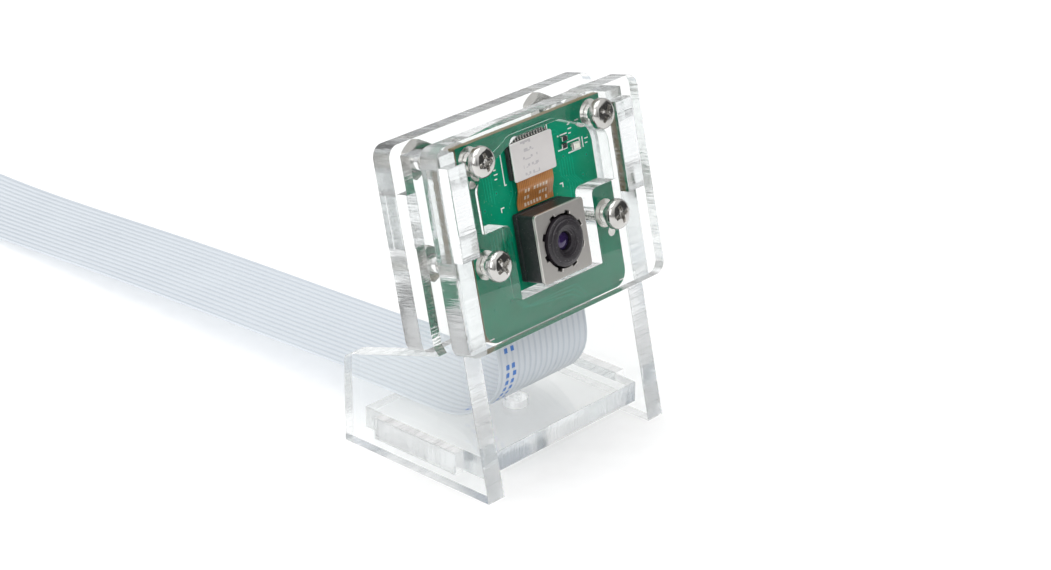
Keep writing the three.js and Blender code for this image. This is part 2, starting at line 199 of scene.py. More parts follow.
def inset_ring(ring, distance):
    """A closed outline moved to its left by a distance, each corner along its mitre."""
    edges = np.roll(ring, -1, 0) - ring
    edges /= np.linalg.norm(edges, axis=1, keepdims=True)
    after = np.stack([-edges[:, 1], edges[:, 0]], 1)
    before = np.roll(after, 1, 0)
    reach = 1 + (before * after).sum(1, keepdims=True)
    return ring + distance * (before + after) / np.maximum(reach, 0.2)


def slab_form(rings, low, high, bevel, place, faces=0, edges=0, polished=()):
    """A flat plate: its walls follow the rings from low to high, with a small bevel at each rim.

    The first ring is the outline, anticlockwise, and the others are holes, clockwise. place
    turns (a, b, height) into places. UVs are (a, b) on the faces and (length, height) on walls.
    The rings whose numbers are in polished have the faces' finish on their walls.
    """
    insets = np.array([bevel, 0, 0, bevel])
    heights = np.array([low, low + bevel, high - bevel, high])
    forms = []
    for number, ring in enumerate(rings):
        levels = np.stack([inset_ring(ring, inset) for inset in insets])
        around = np.linalg.norm(np.roll(ring, -1, 0) - ring, axis=1)
        length = np.concatenate([[0], np.cumsum(around)])
        closed = np.concatenate([levels, levels[:, :1]], 1)
        uv = np.stack(np.broadcast_arrays(length[None, :], heights[:, None]), -1)
        points = place(closed[..., 0], closed[..., 1], heights[:, None])
        forms.append(sheet_form(points, uv, faces if number in polished else edges))
    for height, turn in ((low, -1), (high, 1)):
        loops = [inset_ring(ring, bevel) for ring in rings]
        flat = np.concatenate(loops)
        fill = np.array(tessellate_polygon([[Vector((*p, 0)) for p in loop] for loop in loops]))
        a, b, c = (flat[fill[:, i]] for i in range(3))
        b, c = b - a, c - a
        area = b[:, 0] * c[:, 1] - b[:, 1] * c[:, 0]
        fill = np.where((area * turn > 0)[:, None], fill, fill[:, ::-1])
        fill = fill[np.abs(area) > 1e-12]
        forms.append((
            place(flat[:, 0], flat[:, 1], height), fill, flat[fill], np.full(len(fill), faces),
        ))
    return combine(forms)


def turned_form(centre, profile, sides=64, finish=0):
    """A profile of (radius, w) points turned about an axis that runs out of the head."""
    profile = np.asarray(profile, float)
    turn = np.linspace(0, 2 * np.pi, sides + 1)
    r, w = profile[:, :1], profile[:, 1:]
    points = head(centre[0] + r * np.cos(turn), centre[1] + r * np.sin(turn), w)
    run = np.concatenate([[0], np.cumsum(np.linalg.norm(np.diff(profile, axis=0), axis=1))])
    uv = np.stack(np.broadcast_arrays(turn[None, :], run[:, None]), -1)
    return sheet_form(points, uv, finish)


# ---- outlines -------------------------------------------------------------------------------
def arc(centre, radius, start, end, steps=10):
    turn = np.radians(np.linspace(start, end, steps + 1))
    return np.stack([centre[0] + radius * np.cos(turn), centre[1] + radius * np.sin(turn)], 1)


def circle(centre, radius, steps=48):
    """A round hole, clockwise."""
    return arc(centre, radius, 360, 0, steps)[:-1]


def rectangle(a, b):
    return np.array([(a[0], b[0]), (a[1], b[0]), (a[1], b[1]), (a[0], b[1])], float)


def rounded(a, b, radius, steps=8):
    """A rectangle with round corners, anticlockwise."""
    (left, right), (low, high) = a, b
    corners = [(right - radius, high - radius, 0), (left + radius, high - radius, 90),
               (left + radius, low + radius, 180), (right - radius, low + radius, 270)]
    return np.concatenate([arc(c[:2], radius, c[2], c[2] + 90, steps) for c in corners])


def bend(start, control, end, steps=6):
    """A corner eased as a quadratic curve: (1-t)^2 start + 2t(1-t) control + t^2 end."""
    t = np.linspace(0, 1, steps + 1)[:, None]
    start, control, end = (np.array(p, float) for p in (start, control, end))
    return (1 - t) ** 2 * start + 2 * t * (1 - t) * control + t ** 2 * end


def distinct(ring):
    """A ring without the points that repeat the one before them."""
    return ring[np.linalg.norm(ring - np.roll(ring, 1, 0), axis=1) > 1e-4]


# ---- materials ------------------------------------------------------------------------------
def node(tree, kind, inputs=None, **settings):
    """A new node; each input is a value or another node's output."""
    made = tree.nodes.new("ShaderNode" + kind)
    for key, value in settings.items():
        setattr(made, key, value)
    for socket, value in (inputs or {}).items():
        if isinstance(value, bpy.types.NodeSocket):
            tree.links.new(value, made.inputs[socket])
        else:
            made.inputs[socket].default_value = value
    return made


def calc(tree, operation, *values):
    return node(tree, "Math", dict(enumerate(values)), operation=operation).outputs[0]


def product(tree, first, *others):
    """Values multiplied together."""
    for other in others:
        first = calc(tree, "MULTIPLY", first, other)
    return first


def noise(tree, vector, scale, detail):
    """Plain noise at a scale, as its height."""
    sockets = {"Vector": vector, "Scale": scale, "Detail": detail}
    return node(tree, "TexNoise", sockets).outputs[0]


def white_noise(tree, cell):
    """One even random number for each whole cell of a plane."""
    return node(tree, "TexWhiteNoise", {"Vector": cell}, noise_dimensions="2D").outputs[0]


def link_to(tree, value, shader, socket):
    tree.links.new(value, shader.inputs[socket])


def mix(tree, factor, first, second):
    """A colour between two, by a factor."""
    made = node(tree, "Mix", {0: factor, 6: first, 7: second}, data_type="RGBA")
    return made.outputs[2]


def span(tree, value, low, high, to_low=0.0, to_high=1.0):
    """A value taken from low..high to another span, smoothly and within its ends."""
    sockets = {0: value, 1: low, 2: high, 3: to_low, 4: to_high}
    made = node(tree, "MapRange", sockets, interpolation_type="SMOOTHSTEP")
    return made.outputs[0]


def material(name, **sockets):
    """A material whose shader takes each keyword as the socket of that name."""
    made = bpy.data.materials.new(name)
    made.use_nodes = True
    shader = made.node_tree.nodes["Principled BSDF"]
    for socket, value in sockets.items():
        shader.inputs[socket.replace("_", " ")].default_value = value
    return made, made.node_tree, shader


def group(name, inputs, outputs, fill):
    """A node group with named sockets; fill draws its nodes between the two ends."""
    tree = bpy.data.node_groups.new(name, "ShaderNodeTree")
    for label, kind, default in inputs:
        socket = tree.interface.new_socket(label, in_out="INPUT", socket_type="NodeSocket" + kind)
        if default is not None:
            socket.default_value = default
    for label in outputs:
        tree.interface.new_socket(label, in_out="OUTPUT", socket_type="NodeSocketFloat")
    start, end = tree.nodes.new("NodeGroupInput"), tree.nodes.new("NodeGroupOutput")
    for label, value in fill(tree, start.outputs).items():
        tree.links.new(value, end.inputs[label])
    return tree


def use(tree, shared, **inputs):
    """A shared group placed in a material, with its own values."""
    made = tree.nodes.new("ShaderNodeGroup")
    made.node_tree = shared
    for label, value in inputs.items():
        socket = made.inputs[label]
        if isinstance(value, bpy.types.NodeSocket):
            tree.links.new(value, socket)
        else:
            socket.default_value = value
    return made.outputs


def uv_of(tree):
    return node(tree, "UVMap", uv_map="UVMap").outputs[0]


def place_of(tree):
    return node(tree, "TexCoord").outputs["Object"]


def bump(tree, shader, height, distance, strength=1.0):
    sockets = {"Height": height, "Distance": distance, "Strength": strength}
    link_to(tree, node(tree, "Bump", sockets).outputs[0], shader, "Normal")


def fill_smudges(tree, given):
    """Soft patches and fine dust: broad noise for the patches, sharp noise for the specks."""
    broad = noise(tree, given["Vector"], given["Scale"], 4.0)
    specks = noise(tree, given["Vector"], calc(tree, "MULTIPLY", given["Scale"], 23.0), 2.0)
    return {"Patches": span(tree, broad, 0.35, 0.7), "Specks": span(tree, specks, 0.66, 0.74)}


smudges = group("smudges", [("Vector", "Vector", None), ("Scale", "Float", 60.0)],
                ["Patches", "Specks"], fill_smudges)


def fill_striations(tree, given):
    """The laser's ripple on a cut wall: noise stretched across the sheet, so lines run through
    it, with a slower waviness along the cut."""
    sockets = {"Vector": given["Vector"], "Scale": (1.0, 0.06, 1.0)}
    stretched = node(tree, "Mapping", sockets).outputs[0]
    fine = noise(tree, stretched, given["Rate"], 3.0)
    slow = noise(tree, stretched, calc(tree, "MULTIPLY", given["Rate"], 0.22), 1.0)
    height = calc(tree, "ADD", fine, calc(tree, "MULTIPLY", slow, 1.6))
    return {"Height": height, "Streaks": span(tree, fine, 0.4, 0.65)}


striations = group("laser_striations", [("Vector", "Vector", None), ("Rate", "Float", 4.0)],
                   ["Height", "Streaks"], fill_striations)


def fill_stripes(tree, given):
    """Even stripes: 1 inside each stripe and 0 between, from the share of the pitch they fill."""
    turns = calc(tree, "DIVIDE", given["Coordinate"], given["Pitch"])
    part = calc(tree, "ABSOLUTE", calc(tree, "SUBTRACT", calc(tree, "FRACT", turns), 0.5))
    half = calc(tree, "MULTIPLY", given["Share"], 0.5)
    stripe = calc(tree, "SUBTRACT", half, part)
    return {"Mask": span(tree, stripe, -0.03, 0.03), "Distance": part}


stripes = group(
    "stripes", [("Coordinate", "Float", 0.0), ("Pitch", "Float", 1.0), ("Share", "Float", 0.5)],
    ["Mask", "Distance"], fill_stripes)


def fill_grain(tree, given):
    """Moulded or sprayed grain: two sizes of noise, the finer one weaker."""
    coarse = noise(tree, given["Vector"], given["Scale"], 3.0)
    fine = noise(tree, given["Vector"], calc(tree, "MULTIPLY", given["Scale"], 4.1), 2.0)
    both = calc(tree, "ADD", coarse, calc(tree, "MULTIPLY", fine, 0.4))
    return {"Height": both, "Tone": span(tree, coarse, 0.3, 0.7)}


grain = group("grain", [("Vector", "Vector", None), ("Scale", "Float", 2000.0)],
              ["Height", "Tone"], fill_grain)


# ---- the cable ------------------------------------------------------------------------------
CABLE_WIDTH = 16.0
CABLE_THICK = 0.3
CABLE_W = -2.25                  # middle of the cable where it stands in its connector
CONNECTOR_MOUTH = 19.7
TAIL = 8.0                       # the stiffened contact end
STIFFENER_HEIGHT = (0.21, 0.345)
MARK_PITCH = 1.05                # one cell of the marks along the cable
MARK_LINE = -6.2                 # where the marks run, across the cable
MARKS_MIDDLE, MARKS_REACH = 9.5, 6.5
CABLE_ROUTE = np.array([         # (y, z): down out of the head, one loop, then back and down
    [-6.1, 15.7], [-6.45, 14.1], [-6.65, 12.5], [-6.45, 10.9], [-5.75, 9.3],
    [-4.55, 7.8], [-2.9, 6.55], [-0.9, 5.7], [1.5, 5.25], [5, 5.12], [10, 5.05],
    [17, 4.85], [25, 4.5], [35, 4.05], [46, 3.6], [57, 3.1], [68, 2.5],
    [78, 1.85], [88, 1.2], [97, 0.7], [106, 0.42], [115, 0.36], [122.1, 0.36],
    [126.2, 0.36], [130.35, 0.36],
])


def smooth_path(points, steps=10):
    """A centripetal Catmull-Rom curve: each span is a cubic whose knots lie as far apart as the
    square root of the distance between its points."""
    ends = np.concatenate([2 * points[:1] - points[1:2], points, 2 * points[-1:] - points[-2:-1]])
    p0, p1, p2, p3 = ends[:-3], ends[1:-2], ends[2:-1], ends[3:]
    spans = ((p0, p1), (p1, p2), (p2, p3))
    gap = [np.sqrt(np.linalg.norm(b - a, axis=1))[:, None] for a, b in spans]
    leave = (p1 - p0) / gap[0] - (p2 - p0) / (gap[0] + gap[1]) + (p2 - p1) / gap[1]
    arrive = (p2 - p1) / gap[1] - (p3 - p1) / (gap[1] + gap[2]) + (p3 - p2) / gap[2]
    leave, arrive = leave * gap[1], arrive * gap[1]
    t = (np.arange(steps) / steps)[None, :, None]
    p1, p2, leave, arrive = (a[:, None, :] for a in (p1, p2, leave, arrive))
    curve = ((2 * t**3 - 3 * t**2 + 1) * p1 + (t**3 - 2 * t**2 + t) * leave
             + (3 * t**2 - 2 * t**3) * p2 + (t**3 - t**2) * arrive)
    return np.concatenate([curve.reshape(-1, 2), points[-1:]])


def evenly(path, step):
    """A path taken again at even steps along its length, and the length at each point."""
    run = np.concatenate([[0], np.cumsum(np.linalg.norm(np.diff(path, axis=0), axis=1))])
    at = np.linspace(0, run[-1], int(round(run[-1] / step)) + 1)
    return np.stack([np.interp(at, run, path[:, i]) for i in range(2)], 1), at


mouth_heights = np.array([CONNECTOR_MOUTH - 0.1, CONNECTOR_MOUTH - 1.2])
cable_mouth = head(0, mouth_heights, CABLE_W)[:, 1:] / MM
cable_line, cable_run = evenly(smooth_path(np.concatenate([cable_mouth, CABLE_ROUTE])), 0.5)
CABLE_LENGTH = cable_run[-1]


def cable_form():
    """The cable's section carried along its line: across is even, and each face bulges over
    every conductor as |cos|, thinned at the tail, where the contacts lie bare on a stiffener."""
    tangent = np.gradient(cable_line, axis=0)
    tangent /= np.linalg.norm(tangent, axis=1, keepdims=True)
    side = np.stack([-tangent[:, 1], tangent[:, 0]], 1)
    across = np.linspace(-CABLE_WIDTH / 2, CABLE_WIDTH / 2, 16 * 6 + 1)
    ridge = np.abs(np.cos(np.pi * across)) ** 0.7
    edge = np.clip((CABLE_WIDTH / 2 - np.abs(across)) / 0.12, 0, 1) ** 0.5
    half = (0.62 + 0.38 * ridge) * edge * CABLE_THICK / 2
    tail = np.clip((cable_run - (CABLE_LENGTH - TAIL)) / 0.4, 0, 1)[:, None]
    upper = half * (1 - tail) + tail * np.minimum(half, 0.12)
    lower = half * (1 - tail) + tail * np.minimum(half, 0.0)
    x = np.concatenate([across, across[::-1][1:-1]])
    rise = np.concatenate([upper, -lower[:, ::-1][:, 1:-1]], 1)
    flat = cable_line[:, None, :] + side[:, None, :] * rise[..., None]
    places = np.concatenate([np.broadcast_to(MIDDLE + x, rise.shape)[..., None], flat], 2) * MM
    along = np.broadcast_to(cable_run[:, None], rise.shape)
    uv = np.stack([np.broadcast_to(x, rise.shape), along], -1)
    skin = sheet_form(places, uv, 0, close_columns=True)
    ends = []
    for i in (0, -1):
        over = np.arange(len(across))
        under = (len(x) - over) % len(x)
        ends.append(sheet_form(places[i, [over, under]], uv[i, [over, over]]))
    return [skin, *ends]


def cable_material():
    """Clear film over pale adhesive: a stripe over each conductor, generic marks printed in
    blue along one edge, and bare tinned contacts at the tail."""
    made, tree, shader = material(
        "cable_film", Roughness=0.34, Coat_Weight=0.25, Coat_Roughness=0.2)
    split = node(tree, "SeparateXYZ", {0: uv_of(tree)}).outputs
    across, along = split[0], split[1]
    wires = use(tree, stripes, Coordinate=calc(tree, "ADD", across, 0.5), Pitch=1.0, Share=0.66)
    film = use(tree, smudges, Vector=place_of(tree), Scale=90.0)
    patches = calc(tree, "MULTIPLY", film["Patches"], 0.35)
    jacket = mix(tree, wires["Mask"], (0.49, 0.54, 0.595, 1), (0.58, 0.62, 0.665, 1))
    jacket = mix(tree, patches, jacket, (0.60, 0.645, 0.69, 1))
    # Marks: cells along the cable, each a pair of short bars whose width and place vary.
    cells = use(tree, stripes, Coordinate=along, Pitch=MARK_PITCH, Share=0.62)
    cell = calc(tree, "FLOOR", calc(tree, "DIVIDE", along, MARK_PITCH))
    chance = node(tree, "TexWhiteNoise", {"W": cell}, noise_dimensions="1D").outputs[0]
    wander = calc(tree, "MULTIPLY", chance, 0.3)
    line = calc(tree, "ADD", wander, MARK_LINE)
    from_line = calc(tree, "ABSOLUTE", calc(tree, "SUBTRACT", across, line))
    inside = calc(tree, "LESS_THAN", from_line, calc(tree, "ADD", 0.6, wander))
    hollow = calc(tree, "GREATER_THAN", from_line, calc(tree, "MULTIPLY", chance, 0.35))
    from_middle = calc(tree, "ABSOLUTE", calc(tree, "SUBTRACT", along, MARKS_MIDDLE))
    near_head = calc(tree, "LESS_THAN", from_middle, MARKS_REACH)
    chosen = calc(tree, "GREATER_THAN", chance, 0.28)
    marks = product(tree, inside, hollow, cells["Mask"], chosen, near_head)
    jacket = mix(tree, marks, jacket, (0.03, 0.16, 0.52, 1))
    bare = calc(tree, "GREATER_THAN", along, CABLE_LENGTH - TAIL * 0.55)
    contact = calc(tree, "MULTIPLY", bare, wires["Mask"])
    link_to(tree, mix(tree, contact, jacket, (0.78, 0.77, 0.74, 1)), shader, "Base Color")
    link_to(tree, contact, shader, "Metallic")
    fine = use(tree, grain, Vector=place_of(tree), Scale=900.0)
    ribs = calc(tree, "ADD", wires["Mask"], calc(tree, "MULTIPLY", fine["Height"], 0.3))
    bump(tree, shader, ribs, 0.00003)
    return made


def stiffener_material():
    """Blue film, a little uneven in tone, with fine rub marks."""
    made, tree, shader = material("stiffener_film", Roughness=0.38, Coat_Weight=0.3)
    rub = use(tree, smudges, Vector=place_of(tree), Scale=160.0)
    colour = mix(tree, rub["Patches"], (0.035, 0.17, 0.50, 1), (0.05, 0.22, 0.58, 1))
    link_to(tree, mix(tree, rub["Specks"], colour, (0.2, 0.4, 0.7, 1)), shader, "Base Color")
    fine = use(tree, grain, Vector=place_of(tree), Scale=1500.0)
    bump(tree, shader, fine["Height"], 0.00001)
    return made


def fit(piece, slot, *nodes, body="mount"):
    """A finished piece rides on its body and stands for its nodes. The slot is not used."""
    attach(piece, body)
    if nodes:
        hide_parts(*nodes)
    return piece


def dress(name, made):
    """A CAD node that keeps its own shape takes a finished material."""
    mesh = NODES[name].data
    mesh.materials.clear()
    mesh.materials.append(made)


stiffener = stiffener_material()
cable = make("ribbon_cable", cable_form(), [cable_material()], crease=60)
fit(cable, "cable_jacket", "flat_cable")
tail_y = cable_line[-1, 0]
tail_film = make("tail_stiffener", [slab_form(
    [rounded((MIDDLE - 8, MIDDLE + 8), (tail_y - TAIL + 0.05, tail_y), 0.3)],
    *STIFFENER_HEIGHT, 0.02, flat_place)], [stiffener])
fit(tail_film, "stiffener_blue", "cable_far_end")
dress("cable_near_end", stiffener)

# ---- the acrylic stand ----------------------------------------------------------------------
SHEET = 2.73
FIT = 0.08
RIM = 0.02                       # how far a cut edge's corner is eased
FOOT = 12.02
SIDE_INNER, SIDE_OUTER = 13.24, 15.97
BACK_REAR = -7.565
FRONT_HALF, BACK_HALF = 17.53, 17.67
PLATE_BOTTOM, PLATE_TOP = 18.63, 43.9
FRONT_TAB, REAR_TAB = (30.1, 41.2), (31.4, 37.7)
BASE_BOTTOM = 2.05
BASE_TAB = (-6.5, 6.8)           # the base plate's tabs and the side plates' slots, along y
BASE_HALF = 9.85
BASE_HOLE, BASE_HOLE_RADIUS = (0, -1.6), 1.6
HOLE_U, HOLE_LOW, HOLE_HIGH, HOLE_RADIUS = 10.5, 28.2, 40.7, 1.1
SCREW_PLACES = {
    f"{height}_{side}": (MIDDLE + sign * HOLE_U, v)
    for side, sign in (("left", -1), ("right", 1))
    for height, v in (("lower", HOLE_LOW), ("upper", HOLE_HIGH))
}


def acrylic_face():
    """Cast acrylic sheet: clear and very smooth, with faint handling marks and dust."""
    made, tree, shader = material(
        "acrylic_face", Transmission_Weight=1.0, IOR=1.49, Base_Color=(0.955, 0.965, 0.963, 1))
    marks = use(tree, smudges, Vector=place_of(tree), Scale=70.0)
    rough = calc(tree, "ADD", calc(tree, "MULTIPLY", marks["Patches"], 0.012),
                 calc(tree, "MULTIPLY", marks["Specks"], 0.06))
    link_to(tree, rough, shader, "Roughness")
    return made


def acrylic_edge():
    """The laser-cut wall of the sheet: glossy, rippled by fine lines that run through it."""
    made, tree, shader = material(
        "acrylic_edge", Transmission_Weight=1.0, IOR=1.49, Base_Color=(0.87, 0.89, 0.894, 1))
    ripple = use(tree, striations, Vector=uv_of(tree), Rate=3.2)
    link_to(tree, span(tree, ripple["Streaks"], 0.0, 1.0, 0.05, 0.24), shader, "Roughness")
    bump(tree, shader, ripple["Height"], 0.00008, 0.8)
    return made


ACRYLIC = [acrylic_face(), acrylic_edge()]


def side_outline():
    """A side plate from its side, as (y, z): foot, sloping shoulder and the leaning arm with
    the two tabs that go through the head plates."""
    front, rear = -FIT / 2, BACK_REAR + SHEET + FIT / 2
    arm = [
        (19.2, rear), (REAR_TAB[0], rear), (REAR_TAB[0], BACK_REAR), (REAR_TAB[1], BACK_REAR),
        (REAR_TAB[1], rear), (42.5, rear), (42.5, front), (FRONT_TAB[1], front),
        (FRONT_TAB[1], SHEET), (FRONT_TAB[0], SHEET), (FRONT_TAB[0], front),
        (PLATE_BOTTOM - 0.2, front), (PLATE_BOTTOM - 0.2, 0),
    ]
    v, w = np.array(arm, float).T
    arm = head(0, v, w)[:, 1:] / MM
    heel = bend((FOOT, 10.7), (FOOT, 11.7), (FOOT - 0.9, 12.0))
    return np.concatenate([[(-FOOT, 0), (FOOT, 0)], heel, [(-4.0, 16.75)], arm])


def side_place(y, z, x):
    return flat_place(x, y, z)


def make_side(name, inner, outer):
    slot = rectangle((BASE_TAB[0] - FIT, BASE_TAB[1] + FIT),
                     (BASE_BOTTOM - FIT, BASE_BOTTOM + SHEET + FIT))[::-1]
    form = slab_form([side_outline(), slot], inner, outer, RIM, side_place, 0, 1)
    return make(name, [form], ACRYLIC)


def make_base():
    inner = SIDE_INNER - FIT
    front, rear = BASE_TAB
    right = np.array([(inner, -BASE_HALF), (inner, front), (SIDE_OUTER, front),
                      (SIDE_OUTER, rear), (inner, rear), (inner, BASE_HALF)])
    ring = np.concatenate([right, right[::-1] * (-1, 1)])
    rings = [ring, circle(BASE_HOLE, BASE_HOLE_RADIUS)]
    form = slab_form(rings, BASE_BOTTOM, BASE_BOTTOM + SHEET, RIM, flat_place, 0, 1)
    return make("clear_base", [form], ACRYLIC)


def window_ring():
    """The front plate's window, clockwise: narrow round the module, wide above its ledges, and
    its top rises from below the screws to the middle. The left half mirrors the right."""
    narrow, wide, bottom, ledge, top = 7.15, 11.4, 23.0, 32.3, 41.9
    right = np.concatenate([
        [(narrow, bottom)], bend((narrow, ledge - 1), (narrow, ledge), (narrow + 1, ledge)),
        [(wide, ledge)], bend((wide, 37.2), (wide - 0.2, 39.1), (9.6, 39.45)),
        bend((4.8, 41.4), (4.0, top), (3.4, top)),
    ])
    ring = distinct(np.concatenate([right, right[::-1] * (-1, 1)]))
    return (ring + (MIDDLE, 0))[::-1]


def make_head_plate(name, half, tab, low, windows=()):
    slots = [rectangle((a - FIT, b + FIT), (tab[0] - FIT, tab[1] + FIT))[::-1]
             for a, b in ((-SIDE_OUTER, -SIDE_INNER), (SIDE_INNER, SIDE_OUTER))]
    holes = [circle(centre, HOLE_RADIUS) for centre in SCREW_PLACES.values()]
    ring = distinct(rounded((-half, half), (PLATE_BOTTOM, PLATE_TOP), 1.6))
    rings = [ring, *slots, *holes, *windows]
    form = slab_form(rings, low, low + SHEET, RIM, head, 0, 1, range(3, len(rings)))
    return make(name, [form], ACRYLIC)


left_side = make_side("clear_left_side", -SIDE_OUTER, -SIDE_INNER)
right_side = make_side("clear_right_side", SIDE_INNER, SIDE_OUTER)
clear_base = make_base()
fit(left_side, "acrylic", "left_side_plate")
fit(right_side, "acrylic", "right_side_plate")
fit(clear_base, "acrylic", "base_plate")
for pale in (left_side, right_side, clear_base, cable):
    pale.visible_shadow = False      # clear sheet and thin film let the lamps through
front_plate = make_head_plate("clear_front", FRONT_HALF, FRONT_TAB, 0, [window_ring()])
back_plate = make_head_plate("clear_back", BACK_HALF, REAR_TAB, BACK_REAR)
fit(front_plate, "acrylic", "front_plate")
fit(back_plate, "acrylic", "back_plate")


# ---- camera board ---------------------------------------------------------------------------
BOARD_BACK = BOARD_W[0]
EASE = 0.03


def block(u, v, w, bevel=0.04, radius=0.0, finish=0):
    """A box on the board, about the board's middle, with eased or round corners."""
    u = (u[0] + MIDDLE, u[1] + MIDDLE)
    ring = rounded(u, v, radius, 4) if radius else rectangle(u, v)
    return slab_form([ring], w[0], w[1], bevel, head, finish, finish)


def stroke(points, width, low, high, finish=0):
    """A line of even width along its points, as a thin raised strip on the board."""
    points = np.asarray(points, float) + (MIDDLE, 0)
    along = np.diff(points, axis=0)
    along /= np.linalg.norm(along, axis=1, keepdims=True)
    before, after = np.vstack([along[:1], along]), np.vstack([along, along[-1:]])
    normal = np.stack([-(before + after)[:, 1], (before + after)[:, 0]], 1)
    normal /= (1 + (before * after).sum(1, keepdims=True))
    ring = np.concatenate([points - normal * width / 2, (points + normal * width / 2)[::-1]])
    return slab_form([ring], low, high, (high - low) * 0.2, head, finish, finish)


def disc(centre, outer, low, high, finish=0, inner=0.0, steps=24):
    centre = (centre[0] + MIDDLE, centre[1])
    rings = [circle(centre, outer, steps)[::-1]]
    if inner:
        rings.append(circle(centre, inner, steps))
    return slab_form(rings, low, high, (high - low) * 0.2, head, finish, finish)


def mask_material(name, base, lift):
    """Solder mask: glossy green varnish over copper, with a darker pour, faint orange peel
    and dust."""
    made, tree, shader = material(name, Roughness=0.24, Specular_IOR_Level=0.2)
    broad = node(tree, "TexVoronoi", {"Vector": place_of(tree), "Scale": 330.0}, feature="F1")
    pour = span(tree, broad.outputs["Distance"], 0.25, 0.6)
    marks = use(tree, smudges, Vector=place_of(tree), Scale=140.0)
    colour = mix(tree, calc(tree, "MULTIPLY", pour, 0.35), base, lift)
    colour = mix(tree, calc(tree, "MULTIPLY", marks["Patches"], 0.3), colour, lift)
    dust = calc(tree, "MULTIPLY", marks["Specks"], 0.25)
    link_to(tree, mix(tree, dust, colour, (0.35, 0.6, 0.42, 1)), shader, "Base Color")
    peel = use(tree, grain, Vector=place_of(tree), Scale=1400.0)
    bump(tree, shader, peel["Height"], 0.000012)
    return made


def laminate_material():
    """The board's cut edge: tan glass-fibre in thin layers, by the height through the board."""
    made, tree, shader = material("board_edge", Roughness=0.6)
    through = node(tree, "SeparateXYZ", {0: uv_of(tree)}).outputs[1]
    layers = use(tree, stripes, Coordinate=through, Pitch=0.2, Share=0.5)
    fibre = use(tree, grain, Vector=place_of(tree), Scale=2600.0)
    colour = mix(tree, layers["Mask"], (0.15, 0.12, 0.055, 1), (0.26, 0.205, 0.11, 1))
    colour = mix(tree, calc(tree, "MULTIPLY", fibre["Tone"], 0.5), colour, (0.20, 0.16, 0.08, 1))
    link_to(tree, colour, shader, "Base Color")
    bump(tree, shader, fibre["Height"], 0.00002)
    return made


def metal(name, colour, roughness, worn, scale=1200.0, depth=0.000006):
    """Bare or plated metal: the roughness and colour drift with handling, over a fine grain."""
    made, tree, shader = material(name, Metallic=1.0)
    marks = use(tree, smudges, Vector=place_of(tree), Scale=220.0)
    rough = span(tree, marks["Patches"], 0, 1, roughness, roughness + 0.12)
    link_to(tree, mix(tree, marks["Patches"], colour, worn), shader, "Base Color")
    link_to(tree, rough, shader, "Roughness")
    fine = use(tree, grain, Vector=place_of(tree), Scale=scale)
    bump(tree, shader, fine["Height"], depth)
    return made


def moulded(name, colour, lift, roughness, scale=2400.0, depth=0.00001):
    """Moulded plastic: fine grain with a slight drift of tone, and a little dust."""
    made, tree, shader = material(name, Roughness=roughness)
    fine = use(tree, grain, Vector=place_of(tree), Scale=scale)
    marks = use(tree, smudges, Vector=place_of(tree), Scale=260.0)
    tone = mix(tree, fine["Tone"], colour, lift)
    dusty = mix(tree, calc(tree, "MULTIPLY", marks["Specks"], 0.35), tone, (0.5, 0.49, 0.47, 1))
    link_to(tree, dusty, shader, "Base Color")
    bump(tree, shader, fine["Height"], depth)
    return made


GREEN = mask_material("solder_mask", (0.001, 0.26, 0.135, 1), (0.003, 0.34, 0.19, 1))
GREEN_TRACK = mask_material(
    "solder_mask_over_track", (0.005, 0.36, 0.205, 1), (0.009, 0.41, 0.24, 1))
LAMINATE = laminate_material()
TIN = metal("tinned_copper", (0.78, 0.77, 0.74, 1), 0.22, (0.62, 0.60, 0.56, 1))
SILK = moulded("silkscreen_ink", (0.86, 0.87, 0.85, 1), (0.93, 0.93, 0.92, 1), 0.5)
DARK = moulded("hole_shadow", (0.01, 0.02, 0.015, 1), (0.015, 0.03, 0.02, 1), 0.6)
BLACK = moulded("black_plastic", (0.012, 0.012, 0.014, 1), (0.022, 0.022, 0.024, 1), 0.42)
CHIP = moulded("chip_epoxy", (0.020, 0.020, 0.022, 1), (0.034, 0.034, 0.035, 1), 0.5)


def board_ring():
    u, (low, high), radius = BOARD_U, BOARD_V, 2.0
    return np.concatenate([
        arc((u[0] + radius, low + radius), radius, 180, 270),
        arc((u[1] - radius, low + radius), radius, 270, 360),
        [(u[1], high), (u[0], high)],
    ])


holes = [circle(centre, HOLE_RADIUS) for centre in SCREW_PLACES.values()]
board = make("printed_board", [slab_form(
    [board_ring(), *holes], BOARD_BACK, BOARD_FACE, EASE, head, 0, 1)], [GREEN, LAMINATE])
fit(board, "solder_mask", "camera_board")

